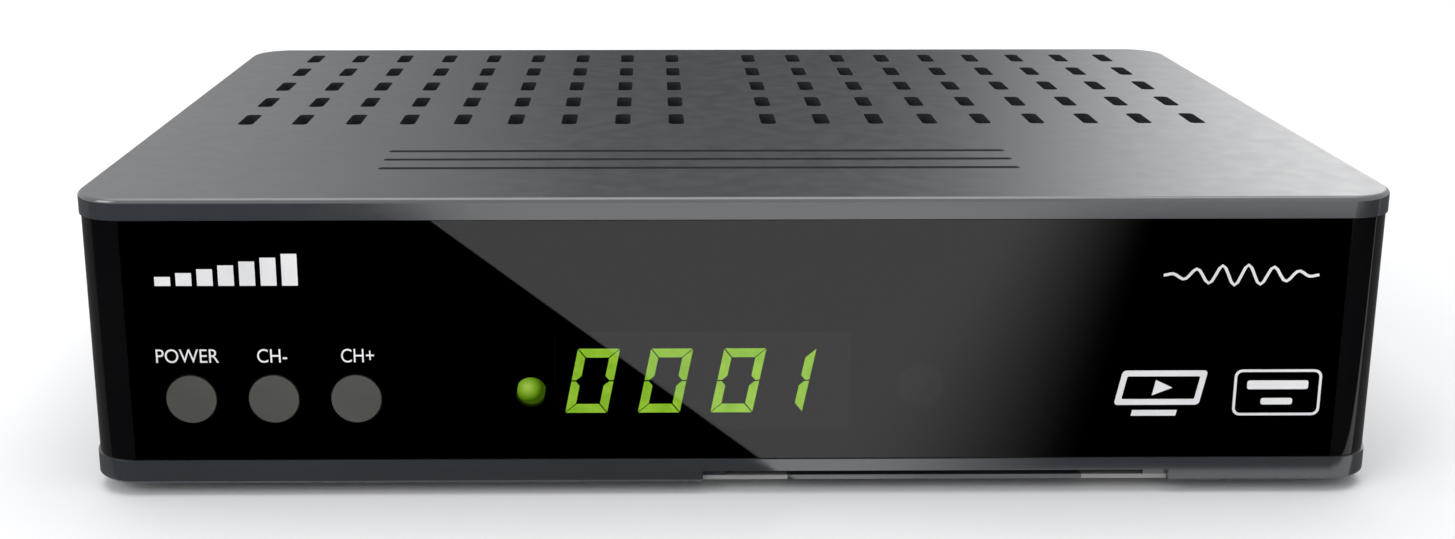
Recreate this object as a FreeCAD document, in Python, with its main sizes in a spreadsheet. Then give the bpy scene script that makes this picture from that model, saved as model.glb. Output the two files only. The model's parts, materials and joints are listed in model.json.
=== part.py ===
"""Satellite TV receiver: a set-top box of separate pieces, in millimetres.

+X is the receiver's right side seen from the front, +Y its back and +Z up. The origin lies
under the middle of its outline, in the plane that the rubber feet stand on.
"""
import FreeCAD, Part
import math
import operator
import os
from types import SimpleNamespace

import Sketcher
from FreeCAD import Rotation, Vector

# The driving dimensions, each one written once
SIZES = (
    # Case outline
    ("case_width", 168.0),
    ("case_depth", 110.0),
    ("corner_radius", 6.2),
    ("base_band", 3.2),
    ("wall_height", 32.15),
    ("lip_height", 2.8),
    ("cover_plate", 2.0),
    ("floor_plate", 2.0),
    ("top_edge_radius", 0.6),
    ("bottom_edge_chamfer", 0.4),
    # Walls between the cover and the tray
    ("wall_inset", 0.25),
    ("wall_thickness", 2.4),
    ("seam", 0.15),
    ("rib_gap", 0.15),
    ("rib_thickness", 1.2),
    ("rib_height", 2.5),
    ("fascia_wrap", 12.0),
    # Vents in the cover, the side panels and the floor
    ("vent_columns", 9),
    ("vent_rows", 5),
    ("vent_pitch", 8.08),
    ("vent_row_pitch", 13.18),
    ("vent_middle_pitch", 13.87),
    ("vent_width", 2.3),
    ("vent_length", 7.2),
    ("vent_corner", 0.7),
    ("vent_back_margin", 9.96),
    ("side_vent_count", 8),
    ("side_vent_pitch", 6.0),
    ("side_vent_height", 14.0),
    ("side_vent_place", 12.0),
    ("floor_vent_columns", 8),
    ("floor_vent_rows", 3),
    ("floor_vent_row_pitch", 17.0),
    ("floor_vent_length", 12.0),
    ("floor_vent_place", 33.0),
    # Three plain grooves in the top, near its front edge
    ("groove_count", 3),
    ("groove_pitch", 5.0),
    ("groove_length", 86.0),
    ("groove_width", 1.2),
    ("groove_depth", 0.3),
    ("groove_end_radius", 0.5),
    ("groove_front_margin", 16.0),
    ("groove_offset", 4.3),
    # Rubber feet
    ("foot_height", 1.7),
    ("foot_radius", 5.0),
    ("foot_recess", 0.5),
    ("foot_clearance", 0.2),
    ("foot_side_margin", 18.0),
    ("foot_end_margin", 10.0),
    # Case screws and the pillars that they join
    ("pillar_side_margin", 8.0),
    ("pillar_end_margin", 17.0),
    ("pillar_radius", 3.6),
    ("pillar_split", 10.0),
    ("case_screw_head_radius", 2.8),
    ("case_screw_head_height", 2.0),
    ("case_screw_head_depth", 6.0),
    ("case_screw_radius", 1.45),
    ("case_screw_grip", 5.0),
    ("head_clearance", 0.3),
    ("pilot_clearance", 0.06),
    ("pass_clearance", 0.3),
    # Main board
    ("board_thickness", 1.6),
    ("board_side_margin", 14.0),
    ("board_front_gap", 0.75),
    ("board_back_gap", 0.85),
    ("board_boss_height", 4.6),
    ("board_boss_radius", 3.0),
    ("board_screw_side_margin", 20.0),
    ("board_screw_end_margin", 30.0),
    ("board_screw_radius", 1.1),
    ("board_screw_head_radius", 2.4),
    ("board_screw_head_height", 1.6),
    ("board_screw_grip", 4.0),
    # Front window, front board and its bosses; each place is taken from the left side
    ("lens_thickness", 1.0),
    ("lens_side_margin", 6.5),
    ("lens_clearance", 0.1),
    ("front_board_width", 110.0),
    ("front_board_height", 24.0),
    ("front_board_place", 65.0),
    ("front_board_lift", 4.0),
    ("front_boss_length", 7.0),
    ("front_boss_radius", 2.4),
    ("front_boss_pitch", 50.0),
    ("front_boss_place", 64.0),
    ("front_boss_lift", 24.0),
    ("front_screw_radius", 0.95),
    ("front_screw_head_radius", 2.0),
    ("front_screw_head_height", 1.4),
    ("front_screw_grip", 4.5),
    # Push buttons and their switches
    ("button_place", 24.72),
    ("button_pitch", 10.58),
    ("button_lift", 11.63),
    ("button_radius", 3.2),
    ("button_clearance", 0.25),
    ("button_flange_radius", 4.2),
    ("button_flange", 1.0),
    ("button_stem_radius", 2.0),
    ("switch_height", 5.0),
    ("switch_body", 3.5),
    ("switch_width", 6.0),
    ("switch_cover", 0.4),
    ("switch_cavity_radius", 2.4),
    ("plunger_radius", 1.75),
    ("plunger_clearance", 0.05),
    ("plunger_foot_radius", 2.1),
    ("plunger_foot", 0.4),
    ("button_travel", 0.35),
    ("dome_gap", 0.1),
    ("dome_thickness", 0.12),
    ("dome_radius", 2.2),
    # Display and status light
    ("display_place", 79.74),
    ("display_lift", 13.65),
    ("display_width", 37.6),
    ("display_height", 12.8),
    ("display_gap", 0.35),
    ("window_clearance", 0.3),
    ("digit_height", 8.7),
    ("digit_width", 5.4),
    ("digit_slant", 1.75),
    ("digit_pitch", 9.4),
    ("last_digit_shift", 0.84),
    ("segment_stroke", 1.15),
    ("segment_gap", 0.12),
    ("segment_thickness", 0.15),
    ("pin_count", 7),
    ("pin_pitch", 2.54),
    ("pin_row_pitch", 10.16),
    ("pin_radius", 0.25),
    ("pin_hole_clearance", 0.15),
    ("pin_reach", 1.2),
    ("status_place", 57.7),
    ("status_lift", 12.25),
    ("guide_radius", 1.8),
    ("guide_clearance", 0.2),
    ("guide_length", 4.2),
    ("led_radius", 1.6),
    ("led_gap", 0.3),
    # Infrared receiver
    ("infrared_place", 108.0),
    ("infrared_lift", 13.0),
    ("infrared_width", 5.6),
    ("infrared_height", 6.8),
    ("infrared_body", 3.4),
    ("infrared_dome_radius", 2.2),
    ("infrared_hole_radius", 3.0),
    # Link between the two boards
    ("link_place", 47.0),
    ("link_count", 6),
    ("link_depth", 5.0),
    ("link_height", 2.5),
    ("link_pin", 0.64),
    ("link_pin_reach", 0.6),
    # Smart card slot
    ("notch_x", 26.25),
    ("notch_width", 60.7),
    ("notch_height", 1.6),
    ("ledge_setback", 1.0),
    ("ledge_thickness", 0.6),
    ("card_slot_width", 54.6),
    ("card_hood", 1.0),
    ("card_guide_width", 11.1),
    ("card_guide_depth", 7.0),
    ("card_depth", 60.0),
    ("reader_width", 58.0),
    ("reader_clearance", 0.3),
    ("contact_columns", 4),
    ("contact_pitch", 2.54),
    ("contact_row_pitch", 7.62),
    ("contact_width", 1.2),
    ("contact_length", 3.0),
    ("contact_thickness", 0.15),
    ("contact_place", 30.0),
    # Tuner and its aerial connectors
    ("tuner_x", 48.0),
    ("tuner_width", 36.0),
    ("tuner_depth", 24.0),
    ("tuner_height", 13.0),
    ("tuner_wall", 0.6),
    ("tuner_gap", 0.35),
    ("aerial_pitch", 20.0),
    ("aerial_lift", 7.0),
    ("thread_radius", 4.7625),
    ("thread_length", 9.0),
    ("thread_reach", 9.5),
    ("neck_radius", 4.4),
    ("neck_clearance", 0.3),
    ("aerial_bore_radius", 3.0),
    ("aerial_recess", 0.5),
    ("insulator_clearance", 0.03),
    ("aerial_contact_radius", 0.9),
    ("aerial_contact_bore", 0.5),
    # Rear sockets, from the middle of the back outwards
    ("socket_clearance", 0.3),
    ("socket_reach", 0.4),
    ("hdmi_x", 18.0),
    ("hdmi_width", 15.0),
    ("hdmi_height", 5.8),
    ("hdmi_depth", 11.5),
    ("hdmi_wall", 0.4),
    ("hdmi_shoulder", 1.4),
    ("hdmi_tongue_width", 11.4),
    ("hdmi_tongue_thickness", 1.0),
    ("network_x", -3.0),
    ("network_width", 16.0),
    ("network_height", 13.5),
    ("network_depth", 21.0),
    ("network_opening_width", 11.9),
    ("network_opening_height", 6.8),
    ("network_opening_lift", 2.8),
    ("network_opening_depth", 14.0),
    ("network_latch_width", 6.2),
    ("network_latch_height", 2.6),
    ("network_wire", 0.35),
    ("network_wire_pitch", 1.02),
    ("network_wire_count", 8),
    ("network_wire_length", 8.4),
    ("av_x", -20.0),
    ("av_width", 7.0),
    ("av_height", 6.0),
    ("av_depth", 13.0),
    ("av_nose_radius", 2.9),
    ("av_bore_radius", 1.8),
    ("av_bore_depth", 14.0),
    ("audio_x", -32.5),
    ("audio_width", 10.0),
    ("audio_height", 12.0),
    ("audio_depth", 10.0),
    ("audio_lift", 6.5),
    ("audio_shell_radius", 4.15),
    ("audio_shell_wall", 0.65),
    ("audio_shell_length", 8.0),
    ("audio_neck_step", 0.35),
    ("audio_core_radius", 2.6),
    ("audio_bore_radius", 1.65),
    ("usb_x", -47.0),
    ("usb_width", 13.2),
    ("usb_height", 5.9),
    ("usb_depth", 14.0),
    ("usb_wall", 0.35),
    ("usb_tongue_width", 11.1),
    ("usb_tongue_thickness", 1.8),
    ("usb_tongue_drop", 0.75),
    ("usb_tongue_length", 8.6),
    ("power_x", -62.5),
    ("power_width", 9.0),
    ("power_height", 11.0),
    ("power_depth", 14.0),
    ("power_lift", 6.5),
    ("power_bore_radius", 3.1),
    ("power_bore_depth", 9.5),
    ("power_pin_radius", 1.0),
    # Chips and parts on the main board
    ("processor_x", -8.0),
    ("processor_y", -4.0),
    ("processor_width", 23.0),
    ("processor_height", 1.6),
    ("pad_width", 20.0),
    ("pad_thickness", 0.5),
    ("heatsink_width", 32.0),
    ("heatsink_base", 2.0),
    ("fin_count", 9),
    ("fin_thickness", 1.2),
    ("fin_height", 8.0),
    ("memory_width", 9.0),
    ("memory_length", 13.3),
    ("memory_height", 1.1),
    ("memory_pitch", 16.0),
    ("memory_x", 24.0),
    ("flash_width", 5.3),
    ("flash_height", 1.9),
    ("flash_y", -26.0),
    ("crystal_length", 11.0),
    ("crystal_width", 4.6),
    ("crystal_height", 3.5),
    ("crystal_y", -24.0),
    ("crystal_x", 12.0),
    ("capacitor_radius", 4.0),
    ("capacitor_height", 12.0),
    ("capacitor_pitch", 10.5),
    ("capacitor_count", 3),
    ("capacitor_x", -60.0),
    ("capacitor_y", 8.0),
    ("small_capacitor_radius", 3.15),
    ("small_capacitor_height", 8.0),
    ("small_capacitor_y", -6.0),
    ("inductor_width", 8.0),
    ("inductor_height", 4.2),
    ("inductor_pitch", 11.0),
    ("inductor_y", -20.0),
    # Room that a cut needs past the face it opens
    ("overcut", 0.5),
)

OPERATORS = {"+": operator.add, "-": operator.sub, "*": operator.mul, "/": operator.truediv}


class Size:
    """A length worked out from the cells of the sheet, kept as text and as a number."""

    def __init__(self, text, number):
        self.text = text
        self.number = float(number)

    def __add__(self, other):
        return joined(self, "+", other)

    def __radd__(self, other):
        return joined(other, "+", self)

    def __sub__(self, other):
        return joined(self, "-", other)

    def __rsub__(self, other):
        return joined(other, "-", self)

    def __mul__(self, other):
        return joined(self, "*", other)

    def __rmul__(self, other):
        return joined(other, "*", self)

    def __truediv__(self, other):
        return joined(self, "/", other)

    def __neg__(self):
        return joined(0, "-", self)


def size_of(value):
    return value if isinstance(value, Size) else Size(str(value), value)


def joined(left, sign, right):
    left = size_of(left)
    right = size_of(right)
    return Size(f"({left.text} {sign} {right.text})", OPERATORS[sign](left.number, right.number))


doc = FreeCAD.newDocument("receiver")
sheet = doc.addObject("Spreadsheet::Sheet", "Sizes")
for row, (alias, value) in enumerate(SIZES, start=1):
    sheet.set(f"A{row}", str(value))
    sheet.setAlias(f"A{row}", alias)
doc.recompute()
s = SimpleNamespace(**{alias: Size(f"Sizes.{alias}", sheet.get(alias)) for alias, value in SIZES})


# Binding sizes to the document's objects

def bind(thing, **values):
    """Tie properties to the sheet: a name with two underscores stands for a path of dots."""
    for name, value in values.items():
        thing.setExpression(name.replace("__", "."), size_of(value).text)


def place(thing, x, y, z):
    bind(thing, Placement__Base__x=x, Placement__Base__y=y, Placement__Base__z=z)


# Plain solids

TURN = {
    "z": Rotation(),
    "y": Rotation(Vector(1, 0, 0), -90),
    "-y": Rotation(Vector(1, 0, 0), 90),
}


def box(label, x, y, z, width, depth, height):
    """A block whose lowest corner is at x, y, z."""
    block = doc.addObject("Part::Box", label)
    bind(block, Length=width, Width=depth, Height=height)
    place(block, x, y, z)
    return block


def centred_box(label, x, y, z, width, depth, height):
    """A block whose bottom face is centred on x, y."""
    return box(label, x - width / 2, y - depth / 2, z, width, depth, height)


def cylinder(label, x, y, z, radius, height, along="z"):
    rod = doc.addObject("Part::Cylinder", label)
    rod.Placement.Rotation = TURN[along]
    bind(rod, Radius=radius, Height=height)
    place(rod, x, y, z)
    return rod


def cut(label, base, *tools):
    result = base
    for tool in tools:
        step = doc.addObject("Part::Cut", label)
        step.Base = result
        step.Tool = tool
        result = step
    return result


def fuse(label, *shapes):
    joint = doc.addObject("Part::MultiFuse", label)
    joint.Shapes = list(shapes)
    return joint


def group(label, shapes):
    """Separate solids of one kind, kept together under one name."""
    bundle = doc.addObject("Part::Compound", label)
    bundle.Links = list(shapes)
    return bundle


# Bodies drawn as sketches

def new_body(label):
    return doc.addObject("PartDesign::Body", label)


def sketch(body, name, role, x=0, y=0, z=0):
    """A sketch parallel to one of the body's own planes, with its origin at x, y, z."""
    drawing = body.newObject("Sketcher::SketchObject", name)
    plane = [item for item in body.Origin.OriginFeatures if item.Role == role][0]
    drawing.AttachmentSupport = [(plane, "")]
    drawing.MapMode = "FlatFace"
    offset = {
        "XY_Plane": (x, y, z),
        "XZ_Plane": (x, z, -size_of(y)),
        "YZ_Plane": (y, z, x),
    }[role]
    for axis, value in zip("xyz", offset):
        drawing.setExpression(f".AttachmentOffset.Base.{axis}", size_of(value).text)
    return drawing


def fix(drawing, name, value, *constraint):
    """Add a dimension to a sketch and tie it to the sheet."""
    index = drawing.addConstraint(Sketcher.Constraint(*constraint, size_of(value).number))
    drawing.renameConstraint(index, name)
    drawing.setExpression(f"Constraints.{name}", size_of(value).text)


def polygon(drawing, points):
    """Straight lines through points, each given as distances from the sketch's origin."""
    first = drawing.GeometryCount
    count = len(points)
    corners = [Vector(size_of(u).number, size_of(v).number, 0) for u, v in points]
    for i in range(count):
        drawing.addGeometry(Part.LineSegment(corners[i], corners[(i + 1) % count]))
    for i, (u, v) in enumerate(points):
        following = first + (i + 1) % count
        drawing.addConstraint(Sketcher.Constraint("Coincident", first + i, 2, following, 1))
        fix(drawing, f"u{first + i}", u, "DistanceX", -1, 1, first + i, 1)
        fix(drawing, f"v{first + i}", v, "DistanceY", -1, 1, first + i, 1)


def rectangle(drawing, width, height, u=0, v=0):
    """A sharp rectangle centred on u, v."""
    left = u - width / 2
    right = u + width / 2
    low = v - height / 2
    high = v + height / 2
    polygon(drawing, [(left, low), (right, low), (right, high), (left, high)])


def rounded(drawing, width, height, radius):
    """A rectangle with round corners, centred on the sketch's origin."""
    first = drawing.GeometryCount
    w, h, r = (size_of(value).number for value in (width, height, radius))
    centres = [(1, 1), (-1, 1), (-1, -1), (1, -1)]
    arcs = []
    for i, (right, up) in enumerate(centres):
        middle = Vector(right * (w / 2 - r), up * (h / 2 - r), 0)
        circle_of_arc = Part.Circle(middle, Vector(0, 0, 1), r)
        arcs.append(Part.ArcOfCircle(circle_of_arc, i * math.pi / 2, (i + 1) * math.pi / 2))
    lines = [Part.LineSegment(arcs[i].EndPoint, arcs[(i + 1) % 4].StartPoint) for i in range(4)]
    drawing.addGeometry(arcs + lines)
    for i in range(4):
        line = first + 4 + i
        drawing.addConstraint(Sketcher.Constraint("Tangent", first + i, 2, line, 1))
        drawing.addConstraint(Sketcher.Constraint("Tangent", line, 2, first + (i + 1) % 4, 1))
    for i in (0, 2):
        drawing.addConstraint(Sketcher.Constraint("Horizontal", first + 4 + i))
        drawing.addConstraint(Sketcher.Constraint("Vertical", first + 5 + i))
    for i in (1, 2, 3):
        drawing.addConstraint(Sketcher.Constraint("Equal", first, first + i))
    drawing.addConstraint(Sketcher.Constraint("Symmetric", first, 3, first + 2, 3, -1, 1))
    fix(drawing, f"radius{first}", radius, "Radius", first)
    fix(drawing, f"width{first}", width, "DistanceX", first + 5, 1, first + 7, 1)
    fix(drawing, f"height{first}", height, "DistanceY", first + 6, 1, first + 4, 1)


def circle(drawing, radius, u=0, v=0):
    first = drawing.GeometryCount
    middle = Vector(size_of(u).number, size_of(v).number, 0)
    drawing.addGeometry(Part.Circle(middle, Vector(0, 0, 1), size_of(radius).number))
    fix(drawing, f"radius{first}", radius, "Radius", first)
    fix(drawing, f"u{first}", u, "DistanceX", -1, 1, first, 3)
    fix(drawing, f"v{first}", v, "DistanceY", -1, 1, first, 3)


def pad(body, drawing, length, name, turned=False):
    """Raise a sketch along its plane's normal, or the other way when turned."""
    feature = body.newObject("PartDesign::Pad", name)
    feature.Profile = drawing
    feature.Reversed = turned
    bind(feature, Length=length)
    return feature


def pocket(body, drawing, depth, name, turned=False):
    """Cut a sketch against its plane's normal, or along it when turned; no depth cuts through."""
    feature = body.newObject("PartDesign::Pocket", name)
    feature.Profile = drawing
    if depth is None:
        feature.Type = "ThroughAll"
        feature.Midplane = True
    else:
        feature.Reversed = turned
        bind(feature, Length=depth)
    return feature


def repeat(body, feature, name, across=None, up=None, groups=None):
    """Repeat a feature along its sketch's axes: each way is a count and a pitch."""
    drawing = feature.Profile[0]
    pattern = body.newObject("PartDesign::MultiTransform", name)
    pattern.Originals = [feature]
    pattern.Refine = False
    ways = [("H_Axis", across), ("V_Axis", up), ("H_Axis", groups)]
    steps = []
    for axis, way in ways:
        if way is None:
            continue
        count, pitch = way
        step = body.newObject("PartDesign::LinearPattern", name + "_step")
        step.Direction = (drawing, [axis])
        bind(step, Occurrences=count, Length=(size_of(count) - 1) * pitch)
        steps.append(step)
    pattern.Transformations = steps
    body.Tip = pattern
    return pattern


def edges_at(shape, height):
    """The names of the edges that lie flat at one height."""
    return [
        f"Edge{i}"
        for i, edge in enumerate(shape.Edges, start=1)
        if abs(edge.BoundBox.ZMin - height) < 1e-6 and abs(edge.BoundBox.ZMax - height) < 1e-6
    ]


# Planes that the pieces share

half_width = s.case_width / 2
foot_spacing_x = s.case_width - 2 * s.foot_side_margin
foot_spacing_y = s.case_depth - 2 * s.foot_end_margin
pillar_spacing_x = s.case_width - 2 * s.pillar_side_margin
pillar_spacing_y = s.case_depth - 2 * s.pillar_end_margin
board_width = s.case_width - 2 * s.board_side_margin
board_screw_spacing_x = s.case_width - 2 * s.board_screw_side_margin
board_screw_spacing_y = s.case_depth - 2 * s.board_screw_end_margin
lens_width = s.case_width - 2 * s.lens_side_margin
front_board_x = s.front_board_place - half_width
front_boss_x = s.front_boss_place - half_width
button_x = s.button_place - half_width
display_x = s.display_place - half_width
status_x = s.status_place - half_width
infrared_x = s.infrared_place - half_width
link_x = s.link_place - half_width

middle_y = -s.thread_reach / 2
front = middle_y - s.case_depth / 2
back = middle_y + s.case_depth / 2

base = s.foot_height
floor_top = base + s.floor_plate
band_top = base + s.base_band
wall_top = band_top + s.wall_height
lip_bottom = wall_top + s.seam
top = lip_bottom + s.lip_height
plate_bottom = top - s.cover_plate
split = base + s.pillar_split

wall_inner_inset = s.wall_inset + s.wall_thickness
rib_outer_inset = wall_inner_inset + s.rib_gap
rib_inner_inset = rib_outer_inset + s.rib_thickness

panel_face = front + s.wall_inset
lens_back = panel_face + s.lens_thickness
fascia_back = front + wall_inner_inset
front_board_face = fascia_back + s.front_boss_length
front_board_back = front_board_face + s.board_thickness
rear_inner = back - wall_inner_inset

board_bottom = floor_top + s.board_boss_height
board_top = board_bottom + s.board_thickness
board_front = front_board_back + s.board_front_gap
board_back = rear_inner - s.board_back_gap

ledge_top = base + s.ledge_thickness
notch_top = base + s.notch_height
reader_front = board_front + s.reader_clearance


def button_positions():
    return [button_x + step * s.button_pitch for step in (-1, 0, 1)]


def corners(spacing_x, spacing_y):
    """Four places around the middle of the case."""
    return [
        (side * spacing_x / 2, middle_y + end * spacing_y / 2)
        for side in (-1, 1)
        for end in (-1, 1)
    ]


def case_outline(drawing, inset):
    """The case's outline seen from above, drawn inwards by an inset."""
    rounded(
        drawing,
        s.case_width - 2 * inset,
        s.case_depth - 2 * inset,
        s.corner_radius - inset,
    )


def case_sketch(body, name, z):
    return sketch(body, name, "XY_Plane", 0, middle_y, z)


# Case

def top_cover():
    body = new_body("top_cover")
    outline = case_sketch(body, "cover_outline", lip_bottom)
    case_outline(outline, 0)
    block = pad(body, outline, s.lip_height, "cover_block")
    doc.recompute()
    edge = body.newObject("PartDesign::Fillet", "cover_edge")
    edge.Base = (block, edges_at(block.Shape, top.number))
    bind(edge, Radius=s.top_edge_radius)

    hollow = case_sketch(body, "cover_hollow_outline", lip_bottom)
    case_outline(hollow, rib_inner_inset)
    pocket(body, hollow, plate_bottom - lip_bottom, "cover_hollow", turned=True)
    rib = case_sketch(body, "cover_rib_outline", lip_bottom)
    case_outline(rib, rib_outer_inset)
    case_outline(rib, rib_inner_inset)
    pad(body, rib, s.rib_height, "cover_rib", turned=True)

    corner_x, corner_y = corners(pillar_spacing_x, pillar_spacing_y)[0]
    pillar = sketch(body, "cover_pillar_circle", "XY_Plane", corner_x, corner_y, plate_bottom)
    circle(pillar, s.pillar_radius)
    post = pad(body, pillar, plate_bottom - split, "cover_pillar", turned=True)
    two_wide = (2, pillar_spacing_x)
    two_deep = (2, pillar_spacing_y)
    repeat(body, post, "cover_pillars", two_wide, two_deep)
    pilot = sketch(body, "cover_pilot_circle", "XY_Plane", corner_x, corner_y, split)
    circle(pilot, s.case_screw_radius + s.pilot_clearance)
    hole = pocket(body, pilot, s.case_screw_grip + s.overcut, "cover_pilot", turned=True)
    repeat(body, hole, "cover_pilots", two_wide, two_deep)

    groove_y = front + s.groove_front_margin
    line = sketch(body, "groove_outline", "XY_Plane", -s.groove_offset, groove_y, top)
    rounded(line, s.groove_length, s.groove_width, s.groove_end_radius)
    groove = pocket(body, line, s.groove_depth, "groove")
    repeat(body, groove, "grooves", up=(s.groove_count, s.groove_pitch))

    group_width = (s.vent_columns - 1) * s.vent_pitch
    first_x = -s.vent_middle_pitch / 2 - group_width
    first_y = back - s.vent_back_margin - (s.vent_rows - 1) * s.vent_row_pitch
    slot = sketch(body, "cover_vent_outline", "XY_Plane", first_x, first_y, top)
    rounded(slot, s.vent_width, s.vent_length, s.vent_corner)
    vent = pocket(body, slot, s.cover_plate + s.overcut, "cover_vent")
    repeat(
        body, vent, "cover_vents",
        (s.vent_columns, s.vent_pitch),
        (s.vent_rows, s.vent_row_pitch),
        (2, group_width + s.vent_middle_pitch),
    )


def bottom_tray():
    body = new_body("bottom_tray")
    outline = case_sketch(body, "tray_outline", base)
    case_outline(outline, 0)
    block = pad(body, outline, s.base_band, "tray_block")
    doc.recompute()
    edge = body.newObject("PartDesign::Chamfer", "tray_edge")
    edge.Base = (block, edges_at(block.Shape, base.number))
    bind(edge, Size=s.bottom_edge_chamfer)

    hollow = case_sketch(body, "tray_hollow_outline", band_top)
    case_outline(hollow, rib_inner_inset)
    pocket(body, hollow, band_top - floor_top, "tray_hollow")
    rib = case_sketch(body, "tray_rib_outline", band_top)
    case_outline(rib, rib_outer_inset)
    case_outline(rib, rib_inner_inset)
    pad(body, rib, s.rib_height, "tray_rib")

    corner_x, corner_y = corners(pillar_spacing_x, pillar_spacing_y)[0]
    two_wide = (2, pillar_spacing_x)
    two_deep = (2, pillar_spacing_y)
    pillar = sketch(body, "tray_pillar_circle", "XY_Plane", corner_x, corner_y, floor_top)
    circle(pillar, s.pillar_radius)
    post = pad(body, pillar, split - floor_top, "tray_pillar")
    repeat(body, post, "tray_pillars", two_wide, two_deep)
    well = sketch(body, "screw_well_circle", "XY_Plane", corner_x, corner_y, base)
    circle(well, s.case_screw_head_radius + s.head_clearance)
    head_well = pocket(body, well, s.case_screw_head_depth, "screw_well", turned=True)
    repeat(body, head_well, "screw_wells", two_wide, two_deep)
    passing = sketch(body, "screw_pass_circle", "XY_Plane", corner_x, corner_y, split)
    circle(passing, s.case_screw_radius + s.pass_clearance)
    through = pocket(body, passing, s.pillar_split - s.case_screw_head_depth + s.overcut, "screw_pass")
    repeat(body, through, "screw_passes", two_wide, two_deep)

    boss_x, boss_y = corners(board_screw_spacing_x, board_screw_spacing_y)[0]
    two_wide = (2, board_screw_spacing_x)
    two_deep = (2, board_screw_spacing_y)
    boss = sketch(body, "board_boss_circle", "XY_Plane", boss_x, boss_y, floor_top)
    circle(boss, s.board_boss_radius)
    stand = pad(body, boss, s.board_boss_height, "board_boss")
    repeat(body, stand, "board_bosses", two_wide, two_deep)
    pilot = sketch(body, "board_pilot_circle", "XY_Plane", boss_x, boss_y, board_bottom)
    circle(pilot, s.board_screw_radius + s.pilot_clearance)
    hole = pocket(body, pilot, s.board_screw_grip + s.overcut, "board_pilot")
    repeat(body, hole, "board_pilots", two_wide, two_deep)

    card_slot(body)

    foot_x, foot_y = corners(foot_spacing_x, foot_spacing_y)[0]
    recess = sketch(body, "foot_recess_circle", "XY_Plane", foot_x, foot_y, base)
    circle(recess, s.foot_radius + s.foot_clearance)
    seat = pocket(body, recess, s.foot_recess, "foot_seat", turned=True)
    repeat(body, seat, "foot_seats", (2, foot_spacing_x), (2, foot_spacing_y))

    vent_x = -s.floor_vent_place - (s.floor_vent_columns - 1) * s.side_vent_pitch / 2
    vent_y = middle_y - (s.floor_vent_rows - 1) * s.floor_vent_row_pitch / 2
    slot = sketch(body, "floor_vent_outline", "XY_Plane", vent_x, vent_y, floor_top)
    rounded(slot, s.vent_width, s.floor_vent_length, s.vent_corner)
    vent = pocket(body, slot, s.floor_plate + s.overcut, "floor_vent")
    repeat(
        body, vent, "floor_vents",
        (s.floor_vent_columns, s.side_vent_pitch),
        (s.floor_vent_rows, s.floor_vent_row_pitch),
    )


def card_slot(body):
    """The notch in the tray's front edge and the way that a card takes behind it."""
    hood_back = reader_front - s.reader_clearance
    hood_front = front + rib_outer_inset
    hood_middle = (hood_front + hood_back) / 2
    hood = sketch(body, "card_hood_outline", "XY_Plane", s.notch_x, hood_middle, floor_top)
    rectangle(hood, s.notch_width, hood_back - hood_front)
    pad(body, hood, s.card_hood, "card_hood")

    notch_middle = front + (s.ledge_setback - s.overcut) / 2
    notch = sketch(body, "notch_outline", "XY_Plane", s.notch_x, notch_middle, base)
    rectangle(notch, s.notch_width, s.ledge_setback + s.overcut)
    pocket(body, notch, s.notch_height, "notch", turned=True)

    slot = sketch(body, "card_slot_outline", "XZ_Plane", s.notch_x, front, (ledge_top + notch_top) / 2)
    rectangle(slot, s.card_slot_width, s.notch_height - s.ledge_thickness)
    pocket(body, slot, hood_back - front + s.overcut, "card_slot")

    path_middle = hood_back + s.card_depth / 2
    path = sketch(body, "card_path_outline", "XY_Plane", s.notch_x, path_middle, band_top)
    rectangle(path, s.card_slot_width, s.card_depth)
    pocket(body, path, band_top - ledge_top, "card_path")
    seat = sketch(body, "reader_seat_outline", "XY_Plane", s.notch_x, path_middle, band_top)
    rectangle(seat, s.reader_width + 2 * s.reader_clearance, s.card_depth)
    pocket(body, seat, band_top - notch_top, "reader_seat")

    guides = sketch(body, "card_guide_outline", "XY_Plane", s.notch_x, guide_middle_y(), base)
    for side in (-1, 1):
        rectangle(guides, s.card_guide_width, s.card_guide_depth, side * guide_offset())
    pocket(body, guides, s.ledge_thickness, "guide_seats", turned=True)


def guide_offset():
    return (s.notch_width - s.card_guide_width) / 2


def guide_middle_y():
    return front + s.ledge_setback + s.card_guide_depth / 2


def wall_ring(body, name):
    """The whole wall between the tray and the cover, from which each wall piece is kept."""
    ring = case_sketch(body, name + "_ring", band_top)
    case_outline(ring, s.wall_inset)
    case_outline(ring, wall_inner_inset)
    pad(body, ring, s.wall_height, name + "_wall")


def trim(body, name, x_low, x_high, y_low, y_high):
    """Cut a block out of a wall ring, over its full height."""
    middle_x = (size_of(x_low) + x_high) / 2
    middle = (size_of(y_low) + y_high) / 2
    drawing = sketch(body, name + "_outline", "XY_Plane", middle_x, middle, wall_top)
    rectangle(drawing, size_of(x_high) - x_low, size_of(y_high) - y_low)
    pocket(body, drawing, s.wall_height + s.overcut, name)


def front_hole(body, name, x, z, y=None):
    """A sketch on the front of the fascia's wall, centred on x and z."""
    return sketch(body, name, "XZ_Plane", x, panel_face if y is None else y, z)


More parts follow.
